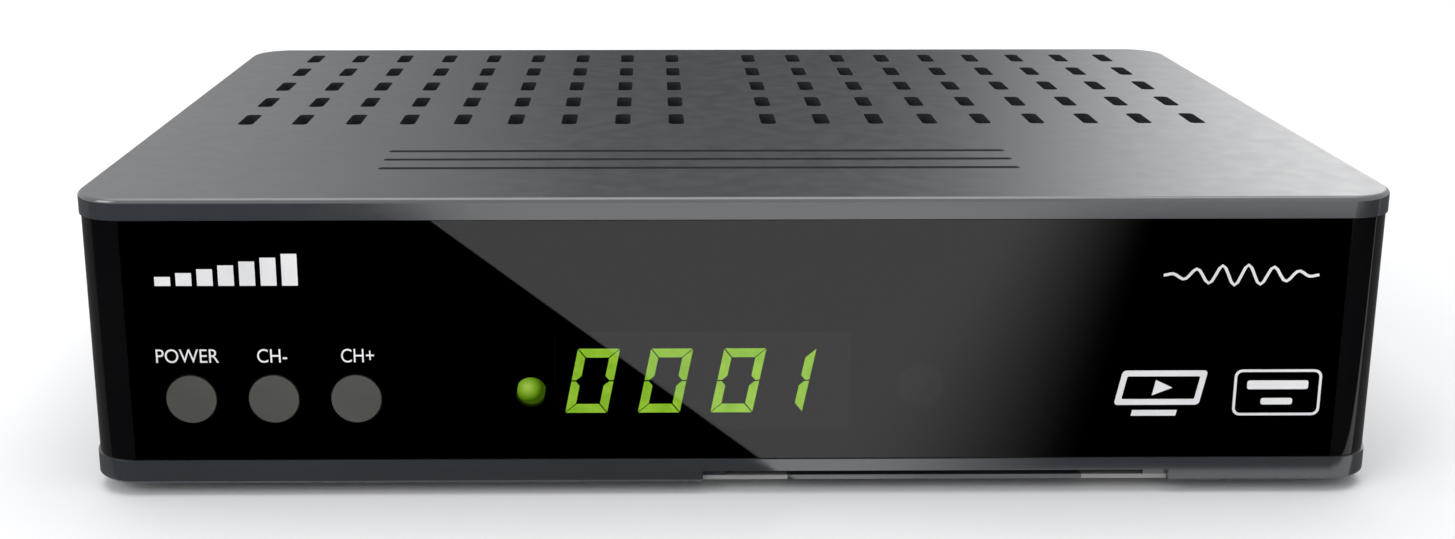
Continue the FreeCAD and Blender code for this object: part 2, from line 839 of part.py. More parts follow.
def front_fascia():
    body = new_body("front_fascia")
    wall_ring(body, "fascia")
    fascia_end = front + s.fascia_wrap
    trim(body, "fascia_trim", -half_width, half_width, fascia_end, back)

    middle_z = band_top + s.wall_height / 2
    recess = front_hole(body, "lens_recess_outline", 0, middle_z)
    rectangle(recess, lens_width + 2 * s.lens_clearance, s.wall_height + 2 * s.overcut)
    pocket(body, recess, s.lens_thickness, "lens_recess")

    boss_x = front_boss_x - s.front_boss_pitch
    boss_z = base + s.front_boss_lift
    three = (3, s.front_boss_pitch)
    boss = front_hole(body, "front_boss_circle", boss_x, boss_z, fascia_back)
    circle(boss, s.front_boss_radius)
    stand = pad(body, boss, s.front_boss_length, "front_boss", turned=True)
    repeat(body, stand, "front_bosses", three)
    pilot = front_hole(body, "front_pilot_circle", boss_x, boss_z, front_board_face)
    circle(pilot, s.front_screw_radius + s.pilot_clearance)
    hole = pocket(body, pilot, s.front_screw_grip + s.overcut, "front_pilot", turned=True)
    repeat(body, hole, "front_pilots", three)

    button = front_hole(body, "button_hole_circle", button_positions()[0], base + s.button_lift)
    circle(button, s.button_radius + s.button_clearance)
    opening = pocket(body, button, s.wall_thickness + s.overcut, "button_hole")
    repeat(body, opening, "button_holes", (3, s.button_pitch))

    window = front_hole(body, "display_window_outline", display_x, base + s.display_lift)
    rectangle(
        window,
        s.display_width + 2 * s.window_clearance,
        s.display_height + 2 * s.window_clearance,
    )
    pocket(body, window, s.wall_thickness + s.overcut, "display_window")
    lights = front_hole(body, "light_holes_circles", 0, base)
    circle(lights, s.guide_radius + s.guide_clearance, status_x, s.status_lift)
    circle(lights, s.infrared_hole_radius, infrared_x, s.infrared_lift)
    pocket(body, lights, s.wall_thickness + s.overcut, "light_holes")


def front_lens():
    body = new_body("front_lens")
    middle_z = band_top + s.wall_height / 2
    sheet_outline = sketch(body, "lens_outline", "XZ_Plane", 0, lens_back, middle_z)
    rectangle(sheet_outline, lens_width, s.wall_height)
    pad(body, sheet_outline, s.lens_thickness, "lens_sheet")
    button = front_hole(body, "lens_hole_circle", button_positions()[0], base + s.button_lift)
    circle(button, s.button_radius + s.button_clearance)
    opening = pocket(body, button, s.lens_thickness + s.overcut, "lens_hole")
    repeat(body, opening, "lens_holes", (3, s.button_pitch))


def side_panel(label, side):
    """One side wall with its rounded back corner; side is -1 on the left and 1 on the right."""
    body = new_body(label)
    wall_ring(body, label)
    corner_x = half_width - s.corner_radius
    inner = (-corner_x, half_width) if side < 0 else (-half_width, corner_x)
    trim(body, label + "_trim", *inner, front, back)
    trim(body, label + "_front", -half_width, half_width, front, front + s.fascia_wrap + s.seam)

    first_y = middle_y + s.side_vent_place - (s.side_vent_count - 1) * s.side_vent_pitch / 2
    middle_z = band_top + s.wall_height / 2
    slot = sketch(body, label + "_vent_outline", "YZ_Plane", 0, first_y, middle_z)
    rounded(slot, s.vent_width, s.side_vent_height, s.vent_corner)
    vent = pocket(body, slot, None, label + "_vent")
    repeat(body, vent, label + "_vents", (s.side_vent_count, s.side_vent_pitch))


def rear_panel():
    body = new_body("rear_panel")
    wall_ring(body, "rear")
    corner_x = half_width - s.corner_radius - s.seam
    corner_y = back - s.corner_radius
    trim(body, "rear_front_trim", -half_width, half_width, front, corner_y)
    trim(body, "rear_left_trim", -half_width, -corner_x, corner_y, back)
    trim(body, "rear_right_trim", corner_x, half_width, corner_y, back)

    gap = s.socket_clearance
    holes = sketch(body, "socket_holes_outline", "XZ_Plane", 0, back, board_top)
    for x, width, height in (
        (s.hdmi_x, s.hdmi_width, s.hdmi_height),
        (s.network_x, s.network_width, s.network_height),
        (s.usb_x, s.usb_width, s.usb_height),
        (s.power_x, s.power_width, s.power_height),
    ):
        rectangle(holes, width + 2 * gap, height + 2 * gap, x, height / 2)
    for x in aerial_positions():
        circle(holes, s.neck_radius + s.neck_clearance, x, s.aerial_lift)
    circle(holes, s.av_nose_radius + gap, s.av_x, s.av_height / 2)
    circle(holes, s.audio_shell_radius + gap, s.audio_x, s.audio_lift)
    pocket(body, holes, None, "socket_holes")


def rubber_feet():
    height = s.foot_height + s.foot_recess
    places = corners(foot_spacing_x, foot_spacing_y)
    group("rubber_feet", [cylinder("foot", x, y, 0, s.foot_radius, height) for x, y in places])


def screw(label, x, y, z, head_radius, head_height, radius, length, along):
    """A pan-head screw: its head starts at x, y, z, and its shank runs on past the head."""
    reach = {"z": (0, 0, 1), "-z": (0, 0, -1), "-y": (0, -1, 0)}[along]
    turn = "z" if along == "-z" else along
    drop = -(head_height + length) if along == "-z" else 0
    head_z = z - head_height if along == "-z" else z
    head = cylinder(label + "_head", x, y, head_z, head_radius, head_height, turn)
    start = [place_of + way * head_height for place_of, way in zip((x, y, z), reach)]
    if along == "-z":
        start[2] = z + drop
    shank = cylinder(label + "_shank", *start, radius, length, turn)
    return fuse(label, head, shank)


def case_screws():
    head_z = base + s.case_screw_head_depth - s.case_screw_head_height
    length = s.pillar_split - s.case_screw_head_depth + s.case_screw_grip
    group("case_screws", [
        screw(
            "case_screw", x, y, head_z,
            s.case_screw_head_radius, s.case_screw_head_height,
            s.case_screw_radius, length, "z",
        )
        for x, y in corners(pillar_spacing_x, pillar_spacing_y)
    ])


# Buttons, switches and the front board

BUTTONS = ("power", "channel_down", "channel_up")


def buttons():
    """Each button: a cap, a flange that stops it behind the fascia, and a stem."""
    z = base + s.button_lift
    plunger_tip = front_board_face - s.switch_height
    flange_back = fascia_back + s.button_flange
    for name, x in zip(BUTTONS, button_positions()):
        cap_length = fascia_back - panel_face
        stem_length = plunger_tip - flange_back
        cap = cylinder(name + "_cap", x, panel_face, z, s.button_radius, cap_length, "y")
        flange = cylinder(
            name + "_flange", x, fascia_back, z, s.button_flange_radius, s.button_flange, "y"
        )
        stem = cylinder(name + "_stem", x, flange_back, z, s.button_stem_radius, stem_length, "y")
        fuse(name + "_button", cap, flange, stem)


def plungers():
    """Each switch's plunger: a rod and a foot inside the switch."""
    z = base + s.button_lift
    tip = front_board_face - s.switch_height
    cavity_front = switch_front() + s.switch_cover
    for name, x in zip(BUTTONS, button_positions()):
        rod = cylinder(name + "_rod", x, tip, z, s.plunger_radius, cavity_front - tip, "y")
        foot = cylinder(name + "_foot", x, cavity_front, z, s.plunger_foot_radius, s.plunger_foot, "y")
        fuse(name + "_plunger", rod, foot)


def switch_front():
    return front_board_face - s.switch_body


def dome_front():
    """Where the snap domes lie: just past the deepest place that a plunger reaches."""
    foot_back = switch_front() + s.switch_cover + s.plunger_foot
    return foot_back + s.button_travel + s.dome_gap


def switches():
    z = base + s.button_lift
    half = s.switch_width / 2
    cavity_front = switch_front() + s.switch_cover
    cavity_depth = dome_front() + s.dome_thickness - cavity_front
    bodies = []
    domes = []
    for x in button_positions():
        block = box(
            "switch_block", x - half, switch_front(), z - half,
            s.switch_width, s.switch_body, s.switch_width,
        )
        way_in = cylinder(
            "switch_way", x, switch_front() - s.overcut, z,
            s.plunger_radius + s.plunger_clearance, s.switch_cover + 2 * s.overcut, "y",
        )
        cavity = cylinder(
            "switch_cavity", x, cavity_front, z, s.switch_cavity_radius, cavity_depth, "y"
        )
        bodies.append(cut("switch_body", block, way_in, cavity))
        domes.append(
            cylinder("switch_dome", x, dome_front(), z, s.dome_radius, s.dome_thickness, "y")
        )
    group("switch_bodies", bodies)
    group("switch_domes", domes)


def front_board():
    body = new_body("front_board")
    middle_z = base + s.front_board_lift + s.front_board_height / 2
    plate = sketch(
        body, "front_board_outline", "XZ_Plane", front_board_x, front_board_back, middle_z
    )
    rectangle(plate, s.front_board_width, s.front_board_height)
    pad(body, plate, s.board_thickness, "front_board_plate")
    through = s.board_thickness + s.overcut

    screw_x = front_boss_x - s.front_boss_pitch
    screws = front_hole(
        body, "front_screw_circle", screw_x, base + s.front_boss_lift, front_board_face
    )
    circle(screws, s.front_screw_radius + s.pass_clearance)
    hole = pocket(body, screws, through, "front_screw_hole")
    repeat(body, hole, "front_screw_holes", (3, s.front_boss_pitch))

    pins = front_hole(
        body, "display_pin_circle", display_pin_x(), display_pin_z(), front_board_face
    )
    circle(pins, s.pin_radius + s.pin_hole_clearance)
    pin_hole = pocket(body, pins, through, "display_pin_hole")
    repeat(
        body, pin_hole, "display_pin_holes", (s.pin_count, s.pin_pitch), (2, s.pin_row_pitch)
    )

    link = front_hole(body, "link_pin_outline", link_first_x(), link_pin_z(), front_board_face)
    side = s.link_pin + 2 * s.pin_hole_clearance
    rectangle(link, side, side)
    link_hole = pocket(body, link, through, "link_pin_hole")
    repeat(body, link_hole, "link_pin_holes", (s.link_count, s.pin_pitch))


def front_board_screws():
    z = base + s.front_boss_lift
    places = [front_boss_x + step * s.front_boss_pitch for step in (-1, 0, 1)]
    group("front_board_screws", [
        screw(
            "front_screw", x, front_board_back + s.front_screw_head_height, z,
            s.front_screw_head_radius, s.front_screw_head_height,
            s.front_screw_radius, s.board_thickness + s.front_screw_grip, "-y",
        )
        for x in places
    ])


# Display and lights

def display_face():
    return lens_back + s.display_gap


def display_pin_x():
    return display_x - (s.pin_count - 1) * s.pin_pitch / 2


def display_pin_z():
    return base + s.display_lift - s.pin_row_pitch / 2


def display():
    z = base + s.display_lift
    box(
        "display_body", display_x - s.display_width / 2, display_face(),
        z - s.display_height / 2,
        s.display_width, front_board_face - display_face(), s.display_height,
    )
    length = s.board_thickness + s.pin_reach
    group("display_pins", [
        cylinder(
            "display_pin", display_pin_x() + column * s.pin_pitch, front_board_face,
            display_pin_z() + row * s.pin_row_pitch, s.pin_radius, length, "y",
        )
        for column in range(int(s.pin_count.number))
        for row in range(2)
    ])
    lit = []
    dark = []
    for digit in range(4):
        outer, middle, upright = segment_bars(digit)
        if digit < 3:
            lit += outer
            dark += middle
        else:
            lit += upright
            dark += outer + middle
    add_segments("lit_segments", lit)
    add_segments("dark_segments", dark)


def segment_bars(digit):
    """The outer, middle and upright bars of one slanted digit, as outlines of x and z."""
    half = s.digit_width.number / 2
    tall = s.digit_height.number / 2
    stroke = s.segment_stroke.number
    gap = s.segment_gap.number
    slant = s.digit_slant.number / s.digit_height.number
    centre_x = display_x.number + (digit - 1.5) * s.digit_pitch.number
    centre_z = (base + s.display_lift).number

    def leaning(points, across=1, up=1, shift=0):
        """The points, mirrored where asked, leaned over and moved to the digit's place."""
        turned = [(across * x + shift, up * z) for x, z in points]
        return [(centre_x + x + slant * z, centre_z + z) for x, z in turned]

    level = [
        (-half + gap, tall),
        (half - gap, tall),
        (half - stroke - gap, tall - stroke),
        (-half + stroke + gap, tall - stroke),
    ]
    upright = [
        (half, tall - gap),
        (half, gap),
        (half - stroke / 2, gap),
        (half - stroke, stroke / 2 + gap),
        (half - stroke, tall - stroke - gap),
    ]
    tip = half - stroke / 2 - gap
    inner = half - stroke - gap
    centre_bar = [
        (-tip, 0), (-inner, stroke / 2), (inner, stroke / 2),
        (tip, 0), (inner, -stroke / 2), (-inner, -stroke / 2),
    ]
    if digit == 3:
        shift = stroke / 2 - half - s.last_digit_shift.number
        return [], [], [leaning(upright, 1, up, shift) for up in (1, -1)]
    outer = [leaning(level, 1, up) for up in (1, -1)]
    outer += [leaning(upright, across, up) for across in (1, -1) for up in (1, -1)]
    return outer, [leaning(centre_bar)], []


def add_segments(label, outlines):
    """Thin bars on the face of the display."""
    thickness = s.segment_thickness.number
    bars = []
    for outline in outlines:
        points = [Vector(x, 0, z) for x, z in outline]
        face = Part.Face(Part.makePolygon(points + points[:1]))
        bars.append(face.extrude(Vector(0, -thickness, 0)))
    feature = doc.addObject("Part::Feature", label)
    feature.Shape = Part.makeCompound(bars)
    feature.Placement.Base = Vector(0, display_face().number, 0)


def status_light():
    z = base + s.status_lift
    guide_front = lens_back + s.display_gap
    led_front = guide_front + s.guide_length + s.led_gap
    cylinder(
        "status_light_guide", status_x, guide_front, z, s.guide_radius, s.guide_length, "y"
    )
    cylinder(
        "status_led", status_x, led_front, z, s.led_radius, front_board_face - led_front, "y"
    )


def infrared_receiver():
    z = base + s.infrared_lift
    body_front = front_board_face - s.infrared_body
    block = box(
        "infrared_body", infrared_x - s.infrared_width / 2, body_front,
        z - s.infrared_height / 2, s.infrared_width, s.infrared_body, s.infrared_height,
    )
    dome = doc.addObject("Part::Sphere", "infrared_dome")
    bind(dome, Radius=s.infrared_dome_radius)
    place(dome, infrared_x, body_front, z)
    fuse("infrared_receiver", block, dome)


# Link between the boards

def link_first_x():
    return link_x - (s.link_count - 1) * s.pin_pitch / 2


def link_pin_z():
    return board_top + s.link_height / 2


def link():
    width = s.link_count * s.pin_pitch
    count = int(s.link_count.number)
    pin_front = front_board_face - s.link_pin_reach
    length = board_front + s.link_depth - pin_front
    half = s.link_pin / 2
    pins = [
        box(
            "link_pin", link_first_x() + i * s.pin_pitch - half, pin_front, link_pin_z() - half,
            s.link_pin, length, s.link_pin,
        )
        for i in range(count)
    ]
    pin_group = group("link_pins", pins)
    block = box(
        "link_block", link_x - width / 2, board_front, board_top,
        width, s.link_depth, s.link_height,
    )
    cut("link_header", block, pin_group)


# Smart card reader

def card_reader():
    reader_bottom = notch_top
    depth = s.card_depth - 2 * s.reader_clearance
    box(
        "card_reader_body", s.notch_x - s.reader_width / 2, reader_front, reader_bottom,
        s.reader_width, depth, board_bottom - reader_bottom,
    )
    first_x = s.notch_x - (s.contact_columns - 1) * s.contact_pitch / 2
    first_y = reader_front + s.contact_place
    group("card_contacts", [
        centred_box(
            "card_contact", first_x + column * s.contact_pitch,
            first_y + row * s.contact_row_pitch, reader_bottom - s.contact_thickness,
            s.contact_width, s.contact_length, s.contact_thickness,
        )
        for column in range(int(s.contact_columns.number))
        for row in range(2)
    ])
    group("card_guides", [
        centred_box(
            "card_guide", s.notch_x + side * guide_offset(), guide_middle_y(), base,
            s.card_guide_width, s.card_guide_depth, s.ledge_thickness,
        )
        for side in (-1, 1)
    ])


# Main board and what stands on it

def main_board():
    body = new_body("main_board")
    middle = (board_front + board_back) / 2
    plate = sketch(body, "main_board_outline", "XY_Plane", 0, middle, board_bottom)
    rectangle(plate, board_width, board_back - board_front)
    pad(body, plate, s.board_thickness, "main_board_plate")
    x, y = corners(board_screw_spacing_x, board_screw_spacing_y)[0]
    screws = sketch(body, "board_screw_circle", "XY_Plane", x, y, board_top)
    circle(screws, s.board_screw_radius + s.pass_clearance)
    hole = pocket(body, screws, s.board_thickness + s.overcut, "board_screw_hole")
    repeat(
        body, hole, "board_screw_holes",
        (2, board_screw_spacing_x), (2, board_screw_spacing_y),
    )


def board_screws():
    head_top = board_top + s.board_screw_head_height
    group("board_screws", [
        screw(
            "board_screw", x, y, head_top,
            s.board_screw_head_radius, s.board_screw_head_height,
            s.board_screw_radius, s.board_thickness + s.board_screw_grip, "-z",
        )
        for x, y in corners(board_screw_spacing_x, board_screw_spacing_y)
    ])


def aerial_positions():
    return [s.tuner_x + side * s.aerial_pitch / 2 for side in (-1, 1)]


def tuner():
    """A tin can with a lid, and the two threaded aerial connectors on its back."""
    can_back = rear_inner - s.tuner_gap
    middle = can_back - s.tuner_depth / 2
    side_height = s.tuner_height - s.tuner_wall
    outside = centred_box(
        "tuner_outside", s.tuner_x, middle, board_top, s.tuner_width, s.tuner_depth, side_height
    )
    inside = centred_box(
        "tuner_inside", s.tuner_x, middle, board_top + s.tuner_wall,
        s.tuner_width - 2 * s.tuner_wall, s.tuner_depth - 2 * s.tuner_wall, side_height,
    )
    cut("tuner_can", outside, inside)
    centred_box(
        "tuner_lid", s.tuner_x, middle, board_top + side_height,
        s.tuner_width, s.tuner_depth, s.tuner_wall,
    )
    z = board_top + s.aerial_lift
    end = back + s.thread_reach
    neck_length = end - s.thread_length - can_back
    bore_length = end - can_back + s.overcut
    insulators = []
    contacts = []
    for label, x in zip(("lnb_in_connector", "lnb_out_connector"), aerial_positions()):
        neck = cylinder(label + "_neck", x, can_back, z, s.neck_radius, neck_length, "y")
        thread = cylinder(
            label + "_thread", x, end - s.thread_length, z, s.thread_radius, s.thread_length, "y"
        )
        bore = cylinder(label + "_bore", x, can_back, z, s.aerial_bore_radius, bore_length, "y")
        cut(label, fuse(label + "_shell", neck, thread), bore)
        length = end - s.aerial_recess - can_back
        core = cylinder(
            "insulator_core", x, can_back, z,
            s.aerial_bore_radius - s.insulator_clearance, length, "y",
        )
        hole = cylinder(
            "insulator_hole", x, can_back - s.overcut, z,
            s.aerial_contact_radius + s.insulator_clearance, length + 2 * s.overcut, "y",
        )
        insulators.append(cut("aerial_insulator", core, hole))
        sleeve = cylinder(
            "contact_sleeve", x, can_back, z, s.aerial_contact_radius, length - s.aerial_recess, "y"
        )
        entry = cylinder(
            "contact_entry", x, can_back + s.aerial_recess, z, s.aerial_contact_bore, length, "y"
        )
        contacts.append(cut("aerial_contact", sleeve, entry))
    group("aerial_insulators", insulators)
    group("aerial_contacts", contacts)


def socket_back():
    """The plane that the rear sockets' mouths reach, just past the rear panel."""
    return back - s.wall_inset + s.socket_reach


def hdmi_socket():
    body = new_body("hdmi_shell")
    half = s.hdmi_width / 2
    wall = s.hdmi_wall
    mouth = sketch(body, "hdmi_outline", "XZ_Plane", s.hdmi_x, socket_back(), board_top)
    shoulder = s.hdmi_shoulder
    polygon(mouth, [
        (-half + shoulder, 0), (half - shoulder, 0), (half, shoulder),
        (half, s.hdmi_height), (-half, s.hdmi_height), (-half, shoulder),
    ])
    pad(body, mouth, s.hdmi_depth, "hdmi_block")
    hollow = sketch(body, "hdmi_hollow_outline", "XZ_Plane", s.hdmi_x, socket_back(), board_top)
    inner = half - wall
    polygon(hollow, [
        (-inner + shoulder, wall), (inner - shoulder, wall), (inner, wall + shoulder),
        (inner, s.hdmi_height - wall), (-inner, s.hdmi_height - wall), (-inner, wall + shoulder),
    ])
    pocket(body, hollow, s.hdmi_depth - wall, "hdmi_hollow", turned=True)
    centre_z = board_top + s.hdmi_height / 2
    box(
        "hdmi_tongue", s.hdmi_x - s.hdmi_tongue_width / 2, socket_back() - s.hdmi_depth + wall,
        centre_z - s.hdmi_tongue_thickness / 2,
        s.hdmi_tongue_width, s.hdmi_depth - 2 * wall - s.overcut, s.hdmi_tongue_thickness,
    )


def network_jack():
    """A shielded jack: a wide opening with the latch's way below it, and eight wires."""
    y = socket_back() - s.network_depth
    opening_y = socket_back() - s.network_opening_depth
    reach = s.network_opening_depth + s.overcut
    low = board_top + s.network_opening_lift + s.network_latch_height
    block = box(
        "network_block", s.network_x - s.network_width / 2, y, board_top,
        s.network_width, s.network_depth, s.network_height,
    )
    opening = box(
        "network_opening", s.network_x - s.network_opening_width / 2, opening_y, low,
        s.network_opening_width, reach, s.network_opening_height,
    )
    latch = box(
        "network_latch", s.network_x - s.network_latch_width / 2, opening_y,
        low - s.network_latch_height, s.network_latch_width, reach,
        s.network_latch_height + s.overcut,
    )
    cut("ethernet_jack", block, opening, latch)
    first_x = s.network_x - (s.network_wire_count - 1) * s.network_wire_pitch / 2
    wire_z = low + s.network_opening_height - s.network_wire
    group("ethernet_contacts", [
        box(
            "ethernet_wire", first_x + i * s.network_wire_pitch - s.network_wire / 2, opening_y,
            wire_z, s.network_wire, s.network_wire_length, s.network_wire,
        )
        for i in range(int(s.network_wire_count.number))
    ])


def av_jack():
    body_back = rear_inner - s.tuner_gap
    z = board_top + s.av_height / 2
    block = box(
        "av_block", s.av_x - s.av_width / 2, body_back - s.av_depth, board_top,
        s.av_width, s.av_depth, s.av_height,
    )
    nose = cylinder(
        "av_nose", s.av_x, body_back, z, s.av_nose_radius, socket_back() - body_back, "y"
    )
    bore = cylinder(
        "av_bore", s.av_x, socket_back() - s.av_bore_depth, z,
        s.av_bore_radius, s.av_bore_depth + s.overcut, "y",
    )
    cut("av_jack", fuse("av_shape", block, nose), bore)


def digital_audio_jack():
    """A round shell around a core that takes the plug's pin, on a moulded block."""
    body_back = rear_inner - s.tuner_gap
    z = board_top + s.audio_lift
    shell_end = back + s.audio_shell_length
    length = shell_end - body_back
    block = box(
        "audio_block", s.audio_x - s.audio_width / 2, body_back - s.audio_depth, board_top,
        s.audio_width, s.audio_depth, s.audio_height,
    )
    core = cylinder("audio_core", s.audio_x, body_back, z, s.audio_core_radius, length, "y")
    bore = cylinder(
        "audio_bore", s.audio_x, body_back, z, s.audio_bore_radius, length + s.overcut, "y"
    )
    cut("digital_audio_jack", fuse("audio_shape", block, core), bore)
    neck = cylinder(
        "audio_neck", s.audio_x, body_back, z, s.audio_shell_radius - s.audio_neck_step, length, "y"
    )
    tube = cylinder(
        "audio_tube", s.audio_x, back + s.audio_neck_step, z,
        s.audio_shell_radius, s.audio_shell_length - s.audio_neck_step, "y",
    )
    hollow = cylinder(
        "audio_hollow", s.audio_x, body_back - s.overcut, z,
        s.audio_shell_radius - s.audio_shell_wall, length + 2 * s.overcut, "y",
    )
    cut("digital_audio_shell", fuse("audio_outside", neck, tube), hollow)


def usb_socket():
    y = socket_back() - s.usb_depth
    wall = s.usb_wall
    outside = box(
        "usb_outside", s.usb_x - s.usb_width / 2, y, board_top,
        s.usb_width, s.usb_depth, s.usb_height,
    )
    inside = box(
        "usb_inside", s.usb_x - s.usb_width / 2 + wall, y + wall, board_top + wall,
        s.usb_width - 2 * wall, s.usb_depth, s.usb_height - 2 * wall,
    )
    cut("usb_shell", outside, inside)
    tongue_top = board_top + s.usb_height - wall - s.usb_tongue_drop
    box(
        "usb_tongue", s.usb_x - s.usb_tongue_width / 2, y + wall,
        tongue_top - s.usb_tongue_thickness,
        s.usb_tongue_width, s.usb_tongue_length, s.usb_tongue_thickness,
    )


def power_socket():
    z = board_top + s.power_lift
    block = box(
        "power_block", s.power_x - s.power_width / 2, socket_back() - s.power_depth, board_top,
        s.power_width, s.power_depth, s.power_height,
    )
    bore_start = socket_back() - s.power_bore_depth
    bore = cylinder(
        "power_bore", s.power_x, bore_start, z,
        s.power_bore_radius, s.power_bore_depth + s.overcut, "y",
    )
    cut("dc_jack", block, bore)
    cylinder(
        "dc_pin", s.power_x, bore_start, z, s.power_pin_radius, s.power_bore_depth - s.overcut, "y"
    )


def chips():
    x = s.processor_x
    y = s.processor_y
    chip_top = board_top + s.processor_height
    centred_box(
        "main_processor", x, y, board_top, s.processor_width, s.processor_width, s.processor_height
    )
    centred_box("thermal_pad", x, y, chip_top, s.pad_width, s.pad_width, s.pad_thickness)
    group("memory_chips", [
        centred_box(
            "memory_chip", s.memory_x, y + side * s.memory_pitch / 2, board_top,
            s.memory_width, s.memory_length, s.memory_height,
        )
        for side in (-1, 1)
    ])
    centred_box(
        "flash_chip", x, s.flash_y, board_top, s.flash_width, s.flash_width, s.flash_height
    )
    centred_box(
        "crystal_can", s.crystal_x, s.crystal_y, board_top,
        s.crystal_width, s.crystal_length, s.crystal_height,
    )


def heatsink():
    body = new_body("heatsink")
    bottom = board_top + s.processor_height + s.pad_thickness
    plate = sketch(body, "heatsink_outline", "XY_Plane", s.processor_x, s.processor_y, bottom)
    rectangle(plate, s.heatsink_width, s.heatsink_width)
    pad(body, plate, s.heatsink_base, "heatsink_base")
    pitch = (s.heatsink_width - s.fin_thickness) / (s.fin_count - 1)
    fin_x = s.processor_x - (s.heatsink_width - s.fin_thickness) / 2
    fin_outline = sketch(
        body, "fin_outline", "XY_Plane", fin_x, s.processor_y, bottom + s.heatsink_base
    )
    rectangle(fin_outline, s.fin_thickness, s.heatsink_width)
    fin = pad(body, fin_outline, s.fin_height, "fin")
    repeat(body, fin, "fins", (s.fin_count, pitch))


def power_parts():
    """The capacitors and coils of the power supply, in rows near the power socket."""
    cans = []
    coils = []
    for i in range(int(s.capacitor_count.number)):
        x = s.capacitor_x + i * s.capacitor_pitch
        cans.append(
            cylinder("large_can", x, s.capacitor_y, board_top, s.capacitor_radius, s.capacitor_height)
        )
        cans.append(
            cylinder(
                "small_can", x, s.small_capacitor_y, board_top,
                s.small_capacitor_radius, s.small_capacitor_height,
            )
        )
        coils.append(
            centred_box(
                "coil", s.capacitor_x + i * s.inductor_pitch, s.inductor_y, board_top,
                s.inductor_width, s.inductor_width, s.inductor_height,
            )
        )
    group("capacitors", cans)
    group("inductors", coils)


top_cover()
bottom_tray()
front_fascia()
front_lens()
side_panel("left_side_panel", -1)
side_panel("right_side_panel", 1)
rear_panel()
rubber_feet()
case_screws()
buttons()
plungers()
switches()
front_board()
front_board_screws()
display()
status_light()
infrared_receiver()
link()
card_reader()
main_board()
board_screws()
tuner()
hdmi_socket()
network_jack()
av_jack()
digital_audio_jack()
usb_socket()
power_socket()
chips()
heatsink()
power_parts()
doc.recompute()

NODES = (
    "top_cover", "bottom_tray", "front_fascia", "front_lens", "left_side_panel",
    "right_side_panel", "rear_panel", "rubber_feet", "case_screws", "power_button",
    "channel_down_button", "channel_up_button", "power_plunger", "channel_down_plunger",
    "channel_up_plunger", "switch_bodies", "switch_domes", "front_board", "front_board_screws",
    "display_body", "display_pins", "lit_segments", "dark_segments", "status_light_guide",
    "status_led", "infrared_receiver", "link_header", "link_pins", "card_reader_body",
    "card_contacts", "card_guides", "main_board", "board_screws", "tuner_can", "tuner_lid",
    "lnb_in_connector", "lnb_out_connector", "aerial_insulators", "aerial_contacts",
    "hdmi_shell", "hdmi_tongue", "ethernet_jack", "ethernet_contacts", "av_jack",
    "digital_audio_jack", "digital_audio_shell", "usb_shell", "usb_tongue", "dc_jack", "dc_pin",
    "main_processor", "thermal_pad", "heatsink", "memory_chips", "flash_chip", "crystal_can",
    "capacitors", "inductors",
)


def check_document():
    """Stop at any object that failed, and at any pocket that cut nothing."""
    for thing in doc.Objects:
        if "Invalid" in thing.State or "Error" in thing.State:
            raise RuntimeError(f"{thing.Label} didn't recompute: {thing.State}")
        if thing.TypeId == "PartDesign::Pocket" and thing.BaseFeature is not None:
            if thing.Shape.Volume >= thing.BaseFeature.Shape.Volume - 1e-6:
                raise RuntimeError(f"{thing.Label} cuts nothing")


def write_nodes():
    os.makedirs("parts", exist_ok=True)
    for node in NODES:
        thing = [item for item in doc.Objects if item.Label == node][0]
        if thing.Shape.isNull() or not thing.Shape.isValid() or not thing.Shape.Solids:
            raise RuntimeError(f"{node} has no valid solid")
        thing.Shape.exportStep(f"parts/{node}.step")


check_document()
write_nodes()
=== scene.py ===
"""The satellite receiver's finish, its printed marks and its studio, in metres."""

import json
import math
import random

import bmesh
import bpy
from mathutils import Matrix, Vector


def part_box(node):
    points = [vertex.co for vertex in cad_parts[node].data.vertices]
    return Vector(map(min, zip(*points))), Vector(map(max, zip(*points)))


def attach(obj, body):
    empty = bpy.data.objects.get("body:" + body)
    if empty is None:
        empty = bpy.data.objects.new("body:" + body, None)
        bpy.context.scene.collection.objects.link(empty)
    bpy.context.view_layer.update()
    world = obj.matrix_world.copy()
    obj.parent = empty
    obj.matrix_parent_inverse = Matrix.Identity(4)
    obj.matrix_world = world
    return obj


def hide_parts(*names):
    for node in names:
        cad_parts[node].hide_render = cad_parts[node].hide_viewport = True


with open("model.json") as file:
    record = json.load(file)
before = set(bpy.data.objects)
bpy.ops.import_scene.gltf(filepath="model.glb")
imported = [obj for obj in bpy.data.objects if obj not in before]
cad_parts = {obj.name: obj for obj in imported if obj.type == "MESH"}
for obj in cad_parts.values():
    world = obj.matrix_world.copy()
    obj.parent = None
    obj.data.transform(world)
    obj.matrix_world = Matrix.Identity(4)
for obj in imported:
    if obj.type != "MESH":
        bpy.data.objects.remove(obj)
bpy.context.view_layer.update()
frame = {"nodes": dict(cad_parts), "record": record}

MM = 0.001
ROOT = "receiver"
scene = bpy.context.scene

# Planes and places read from the frame
case_low, case_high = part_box("top_cover")
HALF_WIDTH = case_high.x
CASE_BACK = case_high.y
CASE_MIDDLE_Y = (case_low.y + case_high.y) / 2
CASE_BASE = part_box("bottom_tray")[0].z
LENS_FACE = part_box("front_lens")[0].y

# The middle part of a noise value's spread, which the finishes stretch to their own limits
NOISE_LOW = 0.3
NOISE_HIGH = 0.7


def shade(colour, factor):
    return tuple(channel * factor for channel in colour)


def middle(low, high):
    return (low + high) / 2


# Node building

